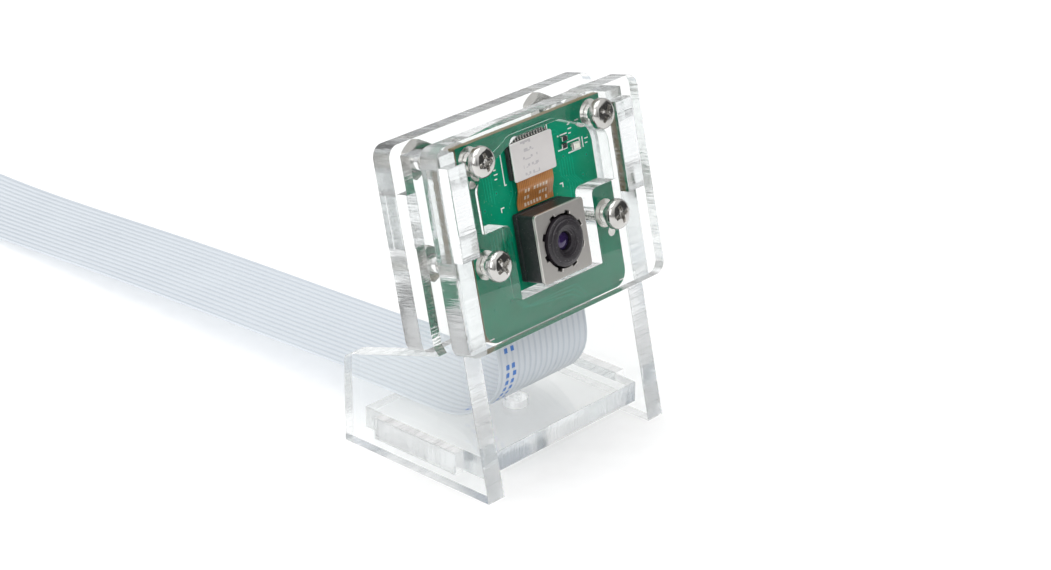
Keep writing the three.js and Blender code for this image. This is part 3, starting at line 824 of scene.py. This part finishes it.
# Tracks run as bundles: each starts straight, jogs once at 45 degrees and goes on.
TRACK = 0.14
FRONT_TRACKS = [
    [((-11.6 + 0.5 * i, 36.9 - 0.2 * i), (-11.6 + 0.5 * i, 33.4 + 0.1 * i),
      (-9.2 + 0.5 * i, 31.0 + 0.1 * i), (-9.2 + 0.5 * i, 26.3 - 0.3 * i)) for i in range(5)],
    [((5.4 + 0.45 * i, 36.2), (5.4 + 0.45 * i, 34.3 - 0.1 * i), (6.6 + 0.45 * i, 33.1 - 0.1 * i),
      (6.6 + 0.45 * i, 30.2), (5.2 + 0.45 * i, 28.8), (5.2 + 0.45 * i, 24.6 + 0.3 * i))
     for i in range(6)],
    [((-6.8 + 0.5 * i, 22.6 - 0.1 * i), (-5.6 + 0.5 * i, 21.4 - 0.1 * i),
      (3.6 - 0.5 * i, 21.4 - 0.5 * i), (5.0 - 0.5 * i, 20.0 - 0.2 * i)) for i in range(3)],
    [((-3.1 + 0.62 * i, 36.1), (-3.1 + 0.62 * i, 35.5 - 0.2 * abs(i - 5)),
      (-3.9 + 0.78 * i, 34.6 - 0.2 * abs(i - 5)), (-3.9 + 0.78 * i, 33.4)) for i in range(11)],
    [((-4.9 - 0.45 * i, 39.8), (-6.3 - 0.45 * i, 38.4), (-6.3 - 0.45 * i, 34.2 + 0.3 * i))
     for i in range(4)],
    [((4.4, 40.0 - 0.5 * i), (5.4 + 0.2 * i, 40.0 - 0.5 * i), (6.2 + 0.2 * i, 39.2 - 0.5 * i))
     for i in range(2)],
]
BACK_TRACKS = [
    [((-7.5 + i, 25.1), (-7.5 + i, 26.4 + 0.25 * (i % 5)),
      (-6.6 + 0.85 * i, 27.4 + 0.25 * (i % 5)), (-6.6 + 0.85 * i, 31.0 + 0.3 * (i % 4)))
     for i in range(15)],
    [((-9.2 - 0.5 * i, 32.0), (-9.2 - 0.5 * i, 35.5), (-7.6 - 0.5 * i, 37.1),
      (-2.0, 37.1 + 0.5 * i)) for i in range(3)],
]
VIAS = [
    (-8.1, 33.9), (-7.0, 25.3), (-8.9, 25.0), (7.4, 24.4), (8.4, 25.8), (9.1, 33.4),
    (5.0, 19.7), (-7.4, 22.8), (-5.8, 35.4), (6.2, 36.5), (10.2, 35.6), (-10.9, 37.4),
    (-1.5, 20.2), (2.8, 19.6), (9.6, 22.0), (-10.2, 22.6), (-3.0, 41.7), (2.2, 41.8),
    (10.9, 30.4), (-11.3, 31.6),
]
FIDUCIALS = [(-11.7, 38.3), (11.15, 25.7)]


def standing(side, height):
    """Low and high w of a layer that stands out of the board's front (1) or back (-1)."""
    surface = BOARD_FACE if side > 0 else BOARD_BACK
    return sorted((surface - side * 0.005, surface + side * height))


def tracks(name, bundles, side):
    """Tracks stand a few hundredths of a millimetre out of one face of the board."""
    lines = [stroke(line, TRACK, *standing(side, 0.025)) for bundle in bundles for line in bundle]
    return fit(make(name, lines, [GREEN_TRACK]), "solder_mask")


tracks("front_tracks", FRONT_TRACKS, 1)
tracks("back_tracks", BACK_TRACKS, -1)
copper = []
for side in (1, -1):
    copper += [disc(p, 0.27, *standing(side, 0.03), 1) for p in VIAS]
    copper += [disc(p, 0.11, *standing(side, 0.036), 2) for p in VIAS]
    copper += [disc((u - MIDDLE, v), 1.75, *standing(side, 0.03), 0, 1.12, 40)
               for u, v in SCREW_PLACES.values()]
    copper += [disc(p, 0.62, *standing(side, 0.035), 0) for p in FIDUCIALS]
fit(make("board_copper", copper, [TIN, GREEN_TRACK, DARK]), "solder_mask")


def ink_lines():
    """White legend lines: the flex socket's outline, part outlines, a lens centre mark and rows
    of plain dashes where a legend would stand."""
    low, high = BOARD_FACE - 0.005, BOARD_FACE + 0.02
    lines = [
        [(-3.3, 41.5), (-4.2, 41.5), (-4.2, 35.9), (-3.9, 35.9)],
        [(3.3, 41.5), (4.2, 41.5), (4.2, 39.6)],
        [(7.2, 36.6), (9.4, 36.6), (9.4, 37.9), (7.2, 37.9)], [(9.9, 36.6), (9.9, 37.9)],
        [(5.7, 39.05), (7.4, 39.05)], [(5.5, 37.3), (7.2, 37.3)],
        [(-5.4, 32.9), (-5.4, 33.4), (-4.9, 33.4)], [(5.4, 32.9), (5.4, 33.4), (4.9, 33.4)],
        [(-12.0, 19.4), (-11.2, 19.4)], [(11.2, 19.4), (12.0, 19.4)],
    ]
    forms = [stroke(line, 0.16, low, high) for line in lines]
    for start, count in (((-5.7, 37.0), 3), ((7.7, 38.9), 4), ((10.3, 37.0), 2)):
        for i in range(count):
            v, length = start[1] + 0.55 * i, 0.42 + 0.2 * (i % 2)
            forms.append(stroke([(start[0], v), (start[0] + length, v)], 0.14, low, high))
    return forms


fit(make("board_legend", ink_lines(), [SILK]), "solder_mask")

# ---- screws and nuts ------------------------------------------------------------------------
SCREW_SHANK, SCREW_HEAD, SCREW_DOME, SCREW_LENGTH = 0.98, 1.9, 1.3, 12.0
SEAT = SHEET + 0.05
THREAD_PITCH, THREAD_DEPTH = 0.4, 0.2
NUT_FLATS, NUT_THICK, NUT_BORE = 4.0, 1.6, 1.05
NICKEL = metal("nickel_plate", (0.60, 0.59, 0.57, 1), 0.10, (0.48, 0.47, 0.45, 1))


def screw_head(centre, turn):
    """The head as a height over a disc: an oval dome, less a cross recess whose arms narrow and
    whose floor falls towards the middle. The rim and underside close it."""
    r = np.concatenate([np.linspace(0, 1.35, 28), np.linspace(1.38, SCREW_HEAD, 14)])[:, None]
    a = np.linspace(0, 2 * np.pi, 193)[None, :]
    shape = (1 - (r / SCREW_HEAD) ** 3.2) ** 0.45
    dome = SCREW_DOME * (0.30 + 0.70 * shape)
    x, y = np.abs(r * np.cos(a - turn)), np.abs(r * np.sin(a - turn))
    along, beside = np.maximum(x, y), np.minimum(x, y)
    arm = np.clip((0.30 - 0.06 * along - beside) / 0.06, 0, 1)
    arm = arm * np.clip((1.12 - along) / 0.10, 0, 1)
    core = np.clip((0.52 - r + 0 * a) / 0.12, 0, 1)
    depth = np.maximum(arm * (0.75 - 0.35 * along), core * 0.62)
    w = SEAT + dome - depth
    points = head(centre[0] + r * np.cos(a), centre[1] + r * np.sin(a), w)
    uv = np.stack(np.broadcast_arrays(r * np.cos(a), r * np.sin(a)), -1)
    edge = [(SCREW_HEAD, SEAT + SCREW_DOME * 0.30), (SCREW_HEAD, SEAT + 0.06),
            (SCREW_HEAD - 0.06, SEAT), (0.9, SEAT)]
    return [sheet_form(points, uv), turned_form(centre, edge, 192)]


def thread(centre, low, high):
    """A screwed rod: its radius is the shank's, less a groove that turns with the height."""
    a = np.linspace(0, 2 * np.pi, 33)[None, :]
    w = np.linspace(high, low, int((high - low) / 0.05))[:, None]
    part = np.abs(((w / THREAD_PITCH - a / (2 * np.pi)) % 1) - 0.5) * 2
    taper = np.clip((w - low) / 0.4, 0, 1)
    r = (SCREW_SHANK - THREAD_DEPTH * part) * (0.72 + 0.28 * taper)
    points = head(centre[0] + r * np.cos(a), centre[1] + r * np.sin(a), w)
    uv = np.stack(np.broadcast_arrays(a, w), -1)
    tip = turned_form(centre, [(0.55, low + 0.001), (0.0, low)], 32)
    return [sheet_form(points, uv), tip]


def nut_form(centre, low, high):
    """A hexagon nut: its bore, flat ring and corners chamfered where the hexagon is wider."""
    a = np.radians(np.linspace(0, 360, 97))
    flat = NUT_FLATS / 2
    hexagon = flat / np.cos(((a + np.pi / 6) % (np.pi / 3)) - np.pi / 6)
    drop = (hexagon - flat) * 0.58
    rows = [(NUT_BORE, low + 0.25), (NUT_BORE + 0.2, low), (flat - 0.1, low),
            (hexagon, low + 0.05 + drop), (hexagon, high - 0.05 - drop),
            (flat - 0.1, high), (NUT_BORE + 0.2, high), (NUT_BORE, high - 0.25)]
    r, w = (np.stack([row[i] + 0 * a for row in rows]) for i in range(2))
    points = head(centre[0] + r * np.cos(a), centre[1] + r * np.sin(a), w)
    uv = np.stack(np.broadcast_arrays(a[None, :], w), -1)
    return sheet_form(points, uv, close_rows=True)


CROSS_TURNS = {"lower_left": 0.5, "upper_left": 0.15, "lower_right": 0.25, "upper_right": 0.95}
NUT_LOWS = {"board_nut": BOARD_BACK - 0.1 - NUT_THICK, "back_nut": BACK_REAR - 0.05 - NUT_THICK}
for key, centre in SCREW_PLACES.items():
    forms = screw_head(centre, CROSS_TURNS[key]) + thread(centre, SEAT - SCREW_LENGTH, SEAT)
    fit(make(f"pan_screw_{key}", forms, [NICKEL], 40), "nickel", f"screw_{key}")
    for name, low in NUT_LOWS.items():
        nut = make(f"hex_{name}_{key}", [nut_form(centre, low, low + NUT_THICK)], [NICKEL], 30)
        fit(nut, "nickel", f"{name}_{key}")

# ---- camera module --------------------------------------------------------------------------
MODULE_HALF = 4.25
COVER_MATERIAL = metal(
    "brushed_cover", (0.63, 0.61, 0.58, 1), 0.32, (0.55, 0.53, 0.505, 1), 700.0)
BARREL = moulded("barrel_plastic", (0.013, 0.011, 0.014, 1), (0.024, 0.020, 0.025, 1), 0.36)
module_v = (LENS_V - MODULE_HALF, LENS_V + MODULE_HALF)
inner_u = (0.1 - MODULE_HALF, MODULE_HALF - 0.1)
inner_v = (module_v[0] + 0.1, module_v[1] - 0.1)


def module_wall(name, w, holes, materials, radius, u=inner_u, v=inner_v, bevel=0.05):
    ring = distinct(rounded((u[0] + MIDDLE, u[1] + MIDDLE), v, radius, 6))
    return make(name, [slab_form([ring, *holes], *w, bevel, head, 0, 0)], materials)


def notched_ring():
    """The cover's opening, clockwise: round, with eight small notches."""
    a = np.radians(np.linspace(0, 360, 385)[:-1])
    from_notch = np.abs((a % (np.pi / 4)) - np.pi / 8)
    r = np.where(from_notch < 0.13, 3.62, 3.25)
    return np.stack([MIDDLE + r * np.cos(a), LENS_V + r * np.sin(a)], 1)[::-1]


lens_centre = (MIDDLE, LENS_V)
fit(module_wall("module_foot", (0.15, 0.85), [], [BLACK], 0.3), "module_black", "module_base")
fit(module_wall("module_body", (0.95, 3.4), [circle(lens_centre, 3.35, 64)], [BLACK], 0.4),
    "module_black", "module_housing")
fit(module_wall("module_shield", (3.45, 3.9), [notched_ring()], [COVER_MATERIAL], 0.45,
                (-MODULE_HALF, MODULE_HALF), module_v, 0.06), "module_cover", "module_cover")
barrel_profile = [
    (1.16, 1.76), (3.04, 1.76), (3.04, 4.2), (3.0, 4.28), (2.86, 4.36), (2.80, 4.40),
    (2.62, 4.44), (2.58, 4.52), (2.50, 4.58), (2.34, 4.60), (1.96, 4.60), (1.88, 4.56),
    (1.84, 4.48), (1.62, 4.40), (1.58, 4.30), (1.36, 4.22), (1.32, 4.12), (1.17, 4.04),
    (1.16, 1.76),
]
fit(make("lens_barrel", [turned_form(lens_centre, barrel_profile, 96)], [BARREL], 25),
    "barrel_black", "focus_barrel", body="lens")


def lens_material():
    """Coated glass: near black, with the coating's violet reflection painted in as a sheen where
    the glass faces the view, fading to black towards its rim.
    """
    made, tree, shader = material(
        "coated_glass", Roughness=0.04, Coat_Weight=1.0, Coat_Roughness=0.02,
        Coat_Tint=(0.75, 0.6, 1.0, 1))
    # painted reflection: the base colour is violet where the glass faces the view and near black
    # at grazing angles
    painted_coating_sheen = node(tree, "LayerWeight", {"Blend": 0.45}).outputs["Facing"]
    colour = mix(tree, painted_coating_sheen, (0.035, 0.02, 0.07, 1), (0.004, 0.004, 0.01, 1))
    dust = use(tree, smudges, Vector=place_of(tree), Scale=500.0)
    specks = calc(tree, "MULTIPLY", dust["Specks"], 0.3)
    link_to(tree, mix(tree, specks, colour, (0.2, 0.2, 0.22, 1)), shader, "Base Color")
    return made


GLASS_RADIUS, GLASS_REAR, GLASS_FRONT, GLASS_SAG = 1.05, 3.1, 3.95, 0.30
glass_r = np.linspace(GLASS_RADIUS, 0, 16)
glass_dome = np.stack([glass_r, GLASS_FRONT - GLASS_SAG * (glass_r / GLASS_RADIUS) ** 2], 1)
glass_profile = np.concatenate([[(0, GLASS_REAR), (GLASS_RADIUS, GLASS_REAR)], glass_dome])
fit(make("lens_glass", [turned_form(lens_centre, glass_profile, 64)], [lens_material()], 35),
    "lens_glass", "front_lens", body="lens")
SENSOR = moulded("sensor_die", (0.02, 0.018, 0.03, 1), (0.03, 0.03, 0.05, 1), 0.15)
dress("image_sensor", SENSOR)
dress("infrared_filter", lens_material())

# ---- flex and its plug ----------------------------------------------------------------------
FLEX_HALF = 3.1
BAR_PITCH, BAR_ROW = 0.52, 0.85  # the printed bars' cells, across and along the flex


def cell_of(tree, first, pitch, second, row):
    """The whole cell that a point lies in, counted both ways."""
    counts = {0: calc(tree, "FLOOR", calc(tree, "DIVIDE", first, pitch)),
              1: calc(tree, "FLOOR", calc(tree, "DIVIDE", second, row))}
    return node(tree, "CombineXYZ", counts).outputs[0]


def flex_material():
    """Amber film over copper lines, with pale generic bars printed near the module."""
    made, tree, shader = material(
        "flex_film", Roughness=0.30, Coat_Weight=0.6, Coat_Roughness=0.15)
    split = node(tree, "SeparateXYZ", {0: uv_of(tree)}).outputs
    across, along = split[0], split[1]
    lines = use(tree, stripes, Coordinate=across, Pitch=0.31, Share=0.55)
    tone = use(tree, smudges, Vector=place_of(tree), Scale=420.0)
    film = mix(tree, lines["Mask"], (0.30, 0.105, 0.018, 1), (0.47, 0.185, 0.04, 1))
    film = mix(tree, calc(tree, "MULTIPLY", tone["Patches"], 0.5), film, (0.55, 0.26, 0.09, 1))
    chance = white_noise(tree, cell_of(tree, across, BAR_PITCH, along, BAR_ROW))
    bars = use(tree, stripes, Coordinate=across, Pitch=BAR_PITCH, Share=0.6)
    rows = use(tree, stripes, Coordinate=along, Pitch=BAR_ROW, Share=0.5)
    within = calc(tree, "LESS_THAN", calc(tree, "ABSOLUTE", across), 2.1)
    low = calc(tree, "LESS_THAN", along, 2.6)
    chosen = calc(tree, "GREATER_THAN", chance, 0.35)
    printed = product(tree, bars["Mask"], rows["Mask"], within, chosen, low, 0.8)
    link_to(tree, mix(tree, printed, film, (0.74, 0.66, 0.55, 1)), shader, "Base Color")
    bump(tree, shader, lines["Mask"], 0.00001)
    return made


def flex_form():
    """The film's section, carried from the module's foot up under the plug: it rises in an S."""
    t = np.linspace(0, 1, 41)
    v = module_v[1] + 0.1 + t * (40.15 - module_v[1] - 0.1)
    rise = np.clip((v - module_v[1] - 0.7) / 2.0, 0, 1)
    w = 0.30 + 0.50 * rise * rise * (3 - 2 * rise)
    across = np.linspace(-FLEX_HALF, FLEX_HALF, 25)
    front = head(MIDDLE + across[None, :], v[:, None], (w + 0.06)[:, None])
    back = head(MIDDLE + across[None, ::-1], v[:, None], (w - 0.06)[:, None])
    uv = np.stack(np.broadcast_arrays(across[None, :], (v - v[0])[:, None]), -1)
    loop = np.concatenate([front, back], 1)
    skin = sheet_form(loop, np.concatenate([uv, uv[:, ::-1]], 1), close_columns=True)
    ends = [sheet_form(np.stack([front[i], back[i, ::-1]]), np.stack([uv[i], uv[i]]))
            for i in (0, -1)]
    return [skin, *ends]


fit(make("module_ribbon", flex_form(), [flex_material()]), "flex_film", "module_flex")

PLUG_U, PLUG_V, PLUG_W = (-3.6, 3.6), (36.05, 40.7), (0.95, 1.2)


def plate_material():
    """The plug's plate: pale satin steel with faint etched rows."""
    made, tree, shader = material("plug_steel", Metallic=0.6)
    split = node(tree, "SeparateXYZ", {0: uv_of(tree)}).outputs
    across, along = split[0], split[1]
    rows = use(tree, stripes, Coordinate=along, Pitch=0.95, Share=0.42)
    chance = white_noise(tree, cell_of(tree, across, 0.33, along, 0.32))
    right_of = calc(tree, "GREATER_THAN", across, MIDDLE - 1.9)
    left_of = calc(tree, "LESS_THAN", across, MIDDLE + 0.7)
    chosen = calc(tree, "GREATER_THAN", chance, 0.5)
    etched = product(tree, rows["Mask"], chosen, right_of, left_of, 0.45)
    marks = use(tree, smudges, Vector=place_of(tree), Scale=300.0)
    plain = mix(tree, marks["Patches"], (0.93, 0.90, 0.885, 1), (0.88, 0.85, 0.84, 1))
    link_to(tree, mix(tree, etched, plain, (0.42, 0.40, 0.44, 1)), shader, "Base Color")
    link_to(tree, span(tree, marks["Patches"], 0, 1, 0.46, 0.54), shader, "Roughness")
    fine = use(tree, grain, Vector=place_of(tree), Scale=2200.0)
    bump(tree, shader, fine["Height"], 0.000008)
    return made


plate = make("plug_plate", [block(PLUG_U, PLUG_V, PLUG_W, 0.05, 0.25)], [plate_material()])
fit(plate, "plug_plate", "flex_plug_plate")
SOCKET_V, SOCKET_FLOOR, SOCKET_RIM = (36.3, 40.72), (0, 0.42), (0.38, 0.6)
socket = [block((-3.5, 3.5), SOCKET_V, SOCKET_FLOOR), block((-3.5, -3.22), SOCKET_V, SOCKET_RIM),
          block((3.22, 3.5), SOCKET_V, SOCKET_RIM),
          block((-3.5, 3.5), (40.45, SOCKET_V[1]), SOCKET_RIM)]
fit(make("plug_socket", socket, [CHIP]), "socket_black", "flex_socket")
PINS = np.linspace(-3.1, 3.1, 14)
PIN_HALF = 0.12
pins = [block((u - PIN_HALF, u + PIN_HALF), v, w, 0.03)
        for v, w in (((40.75, 41.45), (-0.1, 0.03)), ((40.68, 41.15), (0.68, 0.78)))
        for u in PINS]
fit(make("socket_pins", pins, [TIN]), "plug_plate")

# ---- small parts on the board ---------------------------------------------------------------
CERAMIC = moulded("led_ceramic", (0.87, 0.86, 0.83, 1), (0.92, 0.91, 0.88, 1), 0.35)
LENS_RESIN = moulded("led_resin", (0.86, 0.86, 0.76, 1), (0.90, 0.89, 0.80, 1), 0.12)


def chip_part(name, centre, half_u, half_v, low, high, body, cap, slot, node_name):
    """A two-terminal part: a body between two metal caps that wrap its ends, on solder."""
    u, v = centre
    cap_length = half_u * 0.42
    body_half = half_u - cap_length * 0.8
    across = (v - half_v, v + half_v)
    forms = [block((u - body_half, u + body_half), across, (low, high), 0.03)]
    for side in (-1, 1):
        ends = sorted((u + side * half_u, u + side * (half_u - cap_length)))
        forms.append(block(ends, across, (low, high - 0.03), 0.05, 0.06, 1))
    fit(make(name, forms, [body, cap]), slot, node_name)


chip_part("indicator_led", (8.3, 37.25), 0.8, 0.4, 0, 0.45, CERAMIC, TIN, "led_white",
          "status_led")
led_dome = block((7.9, 8.7), (36.92, 37.58), (0.42, 0.65), 0.1, 0.12)
fit(make("led_dome", [led_dome], [LENS_RESIN]), "led_white")
chip_part("chip_resistor_a", (6.55, 38.6), 0.5, 0.27, 0, 0.4, CHIP, TIN, "chip_black",
          "resistor_upper")
chip_part("chip_resistor_b", (6.35, 37.75), 0.5, 0.27, 0, 0.4, CHIP, TIN, "chip_black",
          "resistor_lower")
CAN = metal("crystal_can", (0.76, 0.74, 0.70, 1), 0.24, (0.66, 0.64, 0.60, 1), 900.0)
BEHIND = BOARD_BACK - 0.1        # where the feet of the parts on the back of the board stand
crystal = [block((-6.1, -2.9), (32.25, 34.75), (BEHIND - 0.5, BEHIND), 0.04, 0.2, 1),
           block((-5.9, -3.1), (32.45, 34.55), (BEHIND - 0.8, BEHIND - 0.48), 0.08, 0.3, 0)]
fit(make("crystal_case", crystal, [CAN, CERAMIC]), "crystal_can", "crystal")
legs = [block((u - 0.19, u + 0.19), v, (BEHIND - 0.25, BEHIND + 0.09), 0.05, 0.05, 1)
        for u in (3.4 - 0.95, 3.4, 3.4 + 0.95) for v in ((32.95, 33.45), (34.95, 35.45))]
regulator_body = [block((1.9, 4.9), (33.35, 35.05), (BEHIND - 1.1, BEHIND - 0.1), 0.08)]
fit(make("regulator_case", regulator_body + legs, [CHIP, TIN]), "chip_black", "regulator")
driver = [block((-0.8, 1.2), (28.6, 30.6), (BEHIND - 0.6, BEHIND), 0.05)]
driver += [block((u - 0.11, u + 0.11), (28.45, 30.75), (BEHIND - 0.12, BEHIND), 0.02, 0, 1)
           for u in 0.2 + 0.4 * np.arange(-2, 3)]
fit(make("driver_case", driver, [CHIP, TIN]), "chip_black", "focus_driver")

# ---- flat-cable connector -------------------------------------------------------------------
CREAM = moulded("connector_nylon", (0.72, 0.67, 0.52, 1), (0.80, 0.75, 0.60, 1), 0.42)
mouth_v, roof_v = extent("cable_connector")[1]
CONNECTOR_HALF, CONNECTOR_W, CONTACTS = 9.6, (-3.95, -1.3), np.arange(-7, 8)
wide, sleeve_v = (-CONNECTOR_HALF, CONNECTOR_HALF), (mouth_v, mouth_v + 4.2)
connector = [
    block(wide, (mouth_v + 4.1, roof_v), CONNECTOR_W, 0.08, 0.15),
    block(wide, sleeve_v, (CABLE_W + 0.4, CONNECTOR_W[1]), 0.05),
    block(wide, sleeve_v, (CONNECTOR_W[0], -3.5), 0.05),
    block((-CONNECTOR_HALF, -8.4), sleeve_v, CONNECTOR_W, 0.08),
    block((8.4, CONNECTOR_HALF), sleeve_v, CONNECTOR_W, 0.08),
]
connector += [block((u - 0.15, u + 0.15), (roof_v - 0.3, roof_v + 0.75), (-1.42, -1.12), 0.04,
                    0, 1) for u in CONTACTS]
connector += [block((u - 0.12, u + 0.12), (mouth_v + 0.5, mouth_v + 3.9),
                    (CABLE_W + 0.36, CABLE_W + 0.44), 0.02, 0, 1) for u in CONTACTS]
fit(make("ribbon_connector", connector, [CREAM, TIN]), "connector_cream", "cable_connector")
LATCH_HALF, LATCH_FRONT = 10.4, -2.85
hook_v = (mouth_v - 0.4, mouth_v + 2.0)
latch = [
    block((-LATCH_HALF, LATCH_HALF), (mouth_v - 1.5, mouth_v - 0.25), (-3.85, LATCH_FRONT),
          0.12, 0.3),
    block((-8.1, 8.1), (mouth_v - 0.4, mouth_v + 2.6), (-3.3, LATCH_FRONT), 0.05),
    block((-LATCH_HALF, -9.8), hook_v, (-3.6, LATCH_FRONT), 0.08),
    block((9.8, LATCH_HALF), hook_v, (-3.6, LATCH_FRONT), 0.08),
]
fit(make("slide_latch", latch, [BLACK]), "latch_black", "connector_latch", body="latch")


# ---- floor and light ------------------------------------------------------------------------
def make_floor():
    """A plain pale table top with a very fine mottle."""
    made, tree, shader = material("floor_paint", Roughness=0.55)
    mottle = use(tree, grain, Vector=place_of(tree), Scale=300.0)
    colour = mix(tree, mottle["Tone"], (0.90, 0.90, 0.90, 1), (0.92, 0.92, 0.92, 1))
    link_to(tree, colour, shader, "Base Color")
    reach, height = 1.6, -0.00002
    corners = np.array([(-reach, -reach, height), (reach, -reach, height),
                        (reach, reach, height), (-reach, reach, height)])
    floor = link("table", mesh_of("table", corners, np.array([[0, 1, 2, 3]])), made)


def make_world():
    """A white room: bright overhead, a little dimmer low down, with dark upright gaps between
    its walls that draw thin dark lines in the clear edges."""
    world = bpy.data.worlds.new("studio")
    bpy.context.scene.world = world
    world.use_nodes = True
    tree = world.node_tree
    direction = node(tree, "SeparateXYZ", {0: node(tree, "TexCoord").outputs["Generated"]}).outputs
    height = span(tree, direction[2], 0.05, 0.60, 0.45, 0.98)
    around = calc(tree, "ARCTAN2", direction[1], direction[0])
    walls = calc(tree, "ABSOLUTE", calc(tree, "SINE", calc(tree, "MULTIPLY", around, 3.5)))
    low_down = span(tree, direction[2], 0.25, 0.75, 1.0, 0.0)
    gap = product(tree, span(tree, walls, 0.10, 0.34, 1.0, 0.0), low_down, 0.85)
    strength = calc(tree, "MULTIPLY", height, calc(tree, "SUBTRACT", 1.0, gap))
    background = tree.nodes["Background"]
    background.inputs["Color"].default_value = (1.0, 1.0, 1.0, 1)
    link_to(tree, strength, background, "Strength")


def softbox(name, place, aim, size, watts):
    data = bpy.data.lights.new(name, "AREA")
    data.shape, data.size, data.size_y, data.energy = "RECTANGLE", size[0], size[1], watts
    lamp = bpy.data.objects.new(name, data)
    lamp.location = place
    lamp.rotation_euler = (Vector(aim) - Vector(place)).to_track_quat("-Z", "Y").to_euler()
    bpy.context.scene.collection.objects.link(lamp)


def make_flag():
    """A grey card that curves round the front right, seen only in reflections."""
    made = material("flag_card", Roughness=0.8, Base_Color=(0.03, 0.03, 0.03, 1))[0]
    radius, columns = 0.21, 25
    around = np.radians(np.linspace(8, 80, columns))
    ring = np.stack([radius * np.sin(around), -radius * np.cos(around), 0 * around], 1)
    rows = np.stack([ring + (0, 0, height) for height in (0.001, 0.16)])
    flag = link("flag", mesh_of("flag", rows, grid_faces(2, columns)), made)
    flag.visible_camera = flag.visible_diffuse = False
    flag.visible_shadow = flag.visible_transmission = False


make_floor()
make_world()
make_flag()
softbox("overhead", (-0.1, 0.1, 0.9), (0, 0, 0), (0.9, 0.9), 4.3)
softbox("left_front", (-0.75, -0.35, 0.5), (0, 0, 0.02), (0.5, 0.6), 2.0)
scene = bpy.context.scene            # light has to cross many clear walls before it ends
scene.view_settings.view_transform = "Standard"
scene.cycles.max_bounces = 32
scene.cycles.glossy_bounces = 12
scene.cycles.transmission_bounces = 28
scene.cycles.transparent_max_bounces = 32
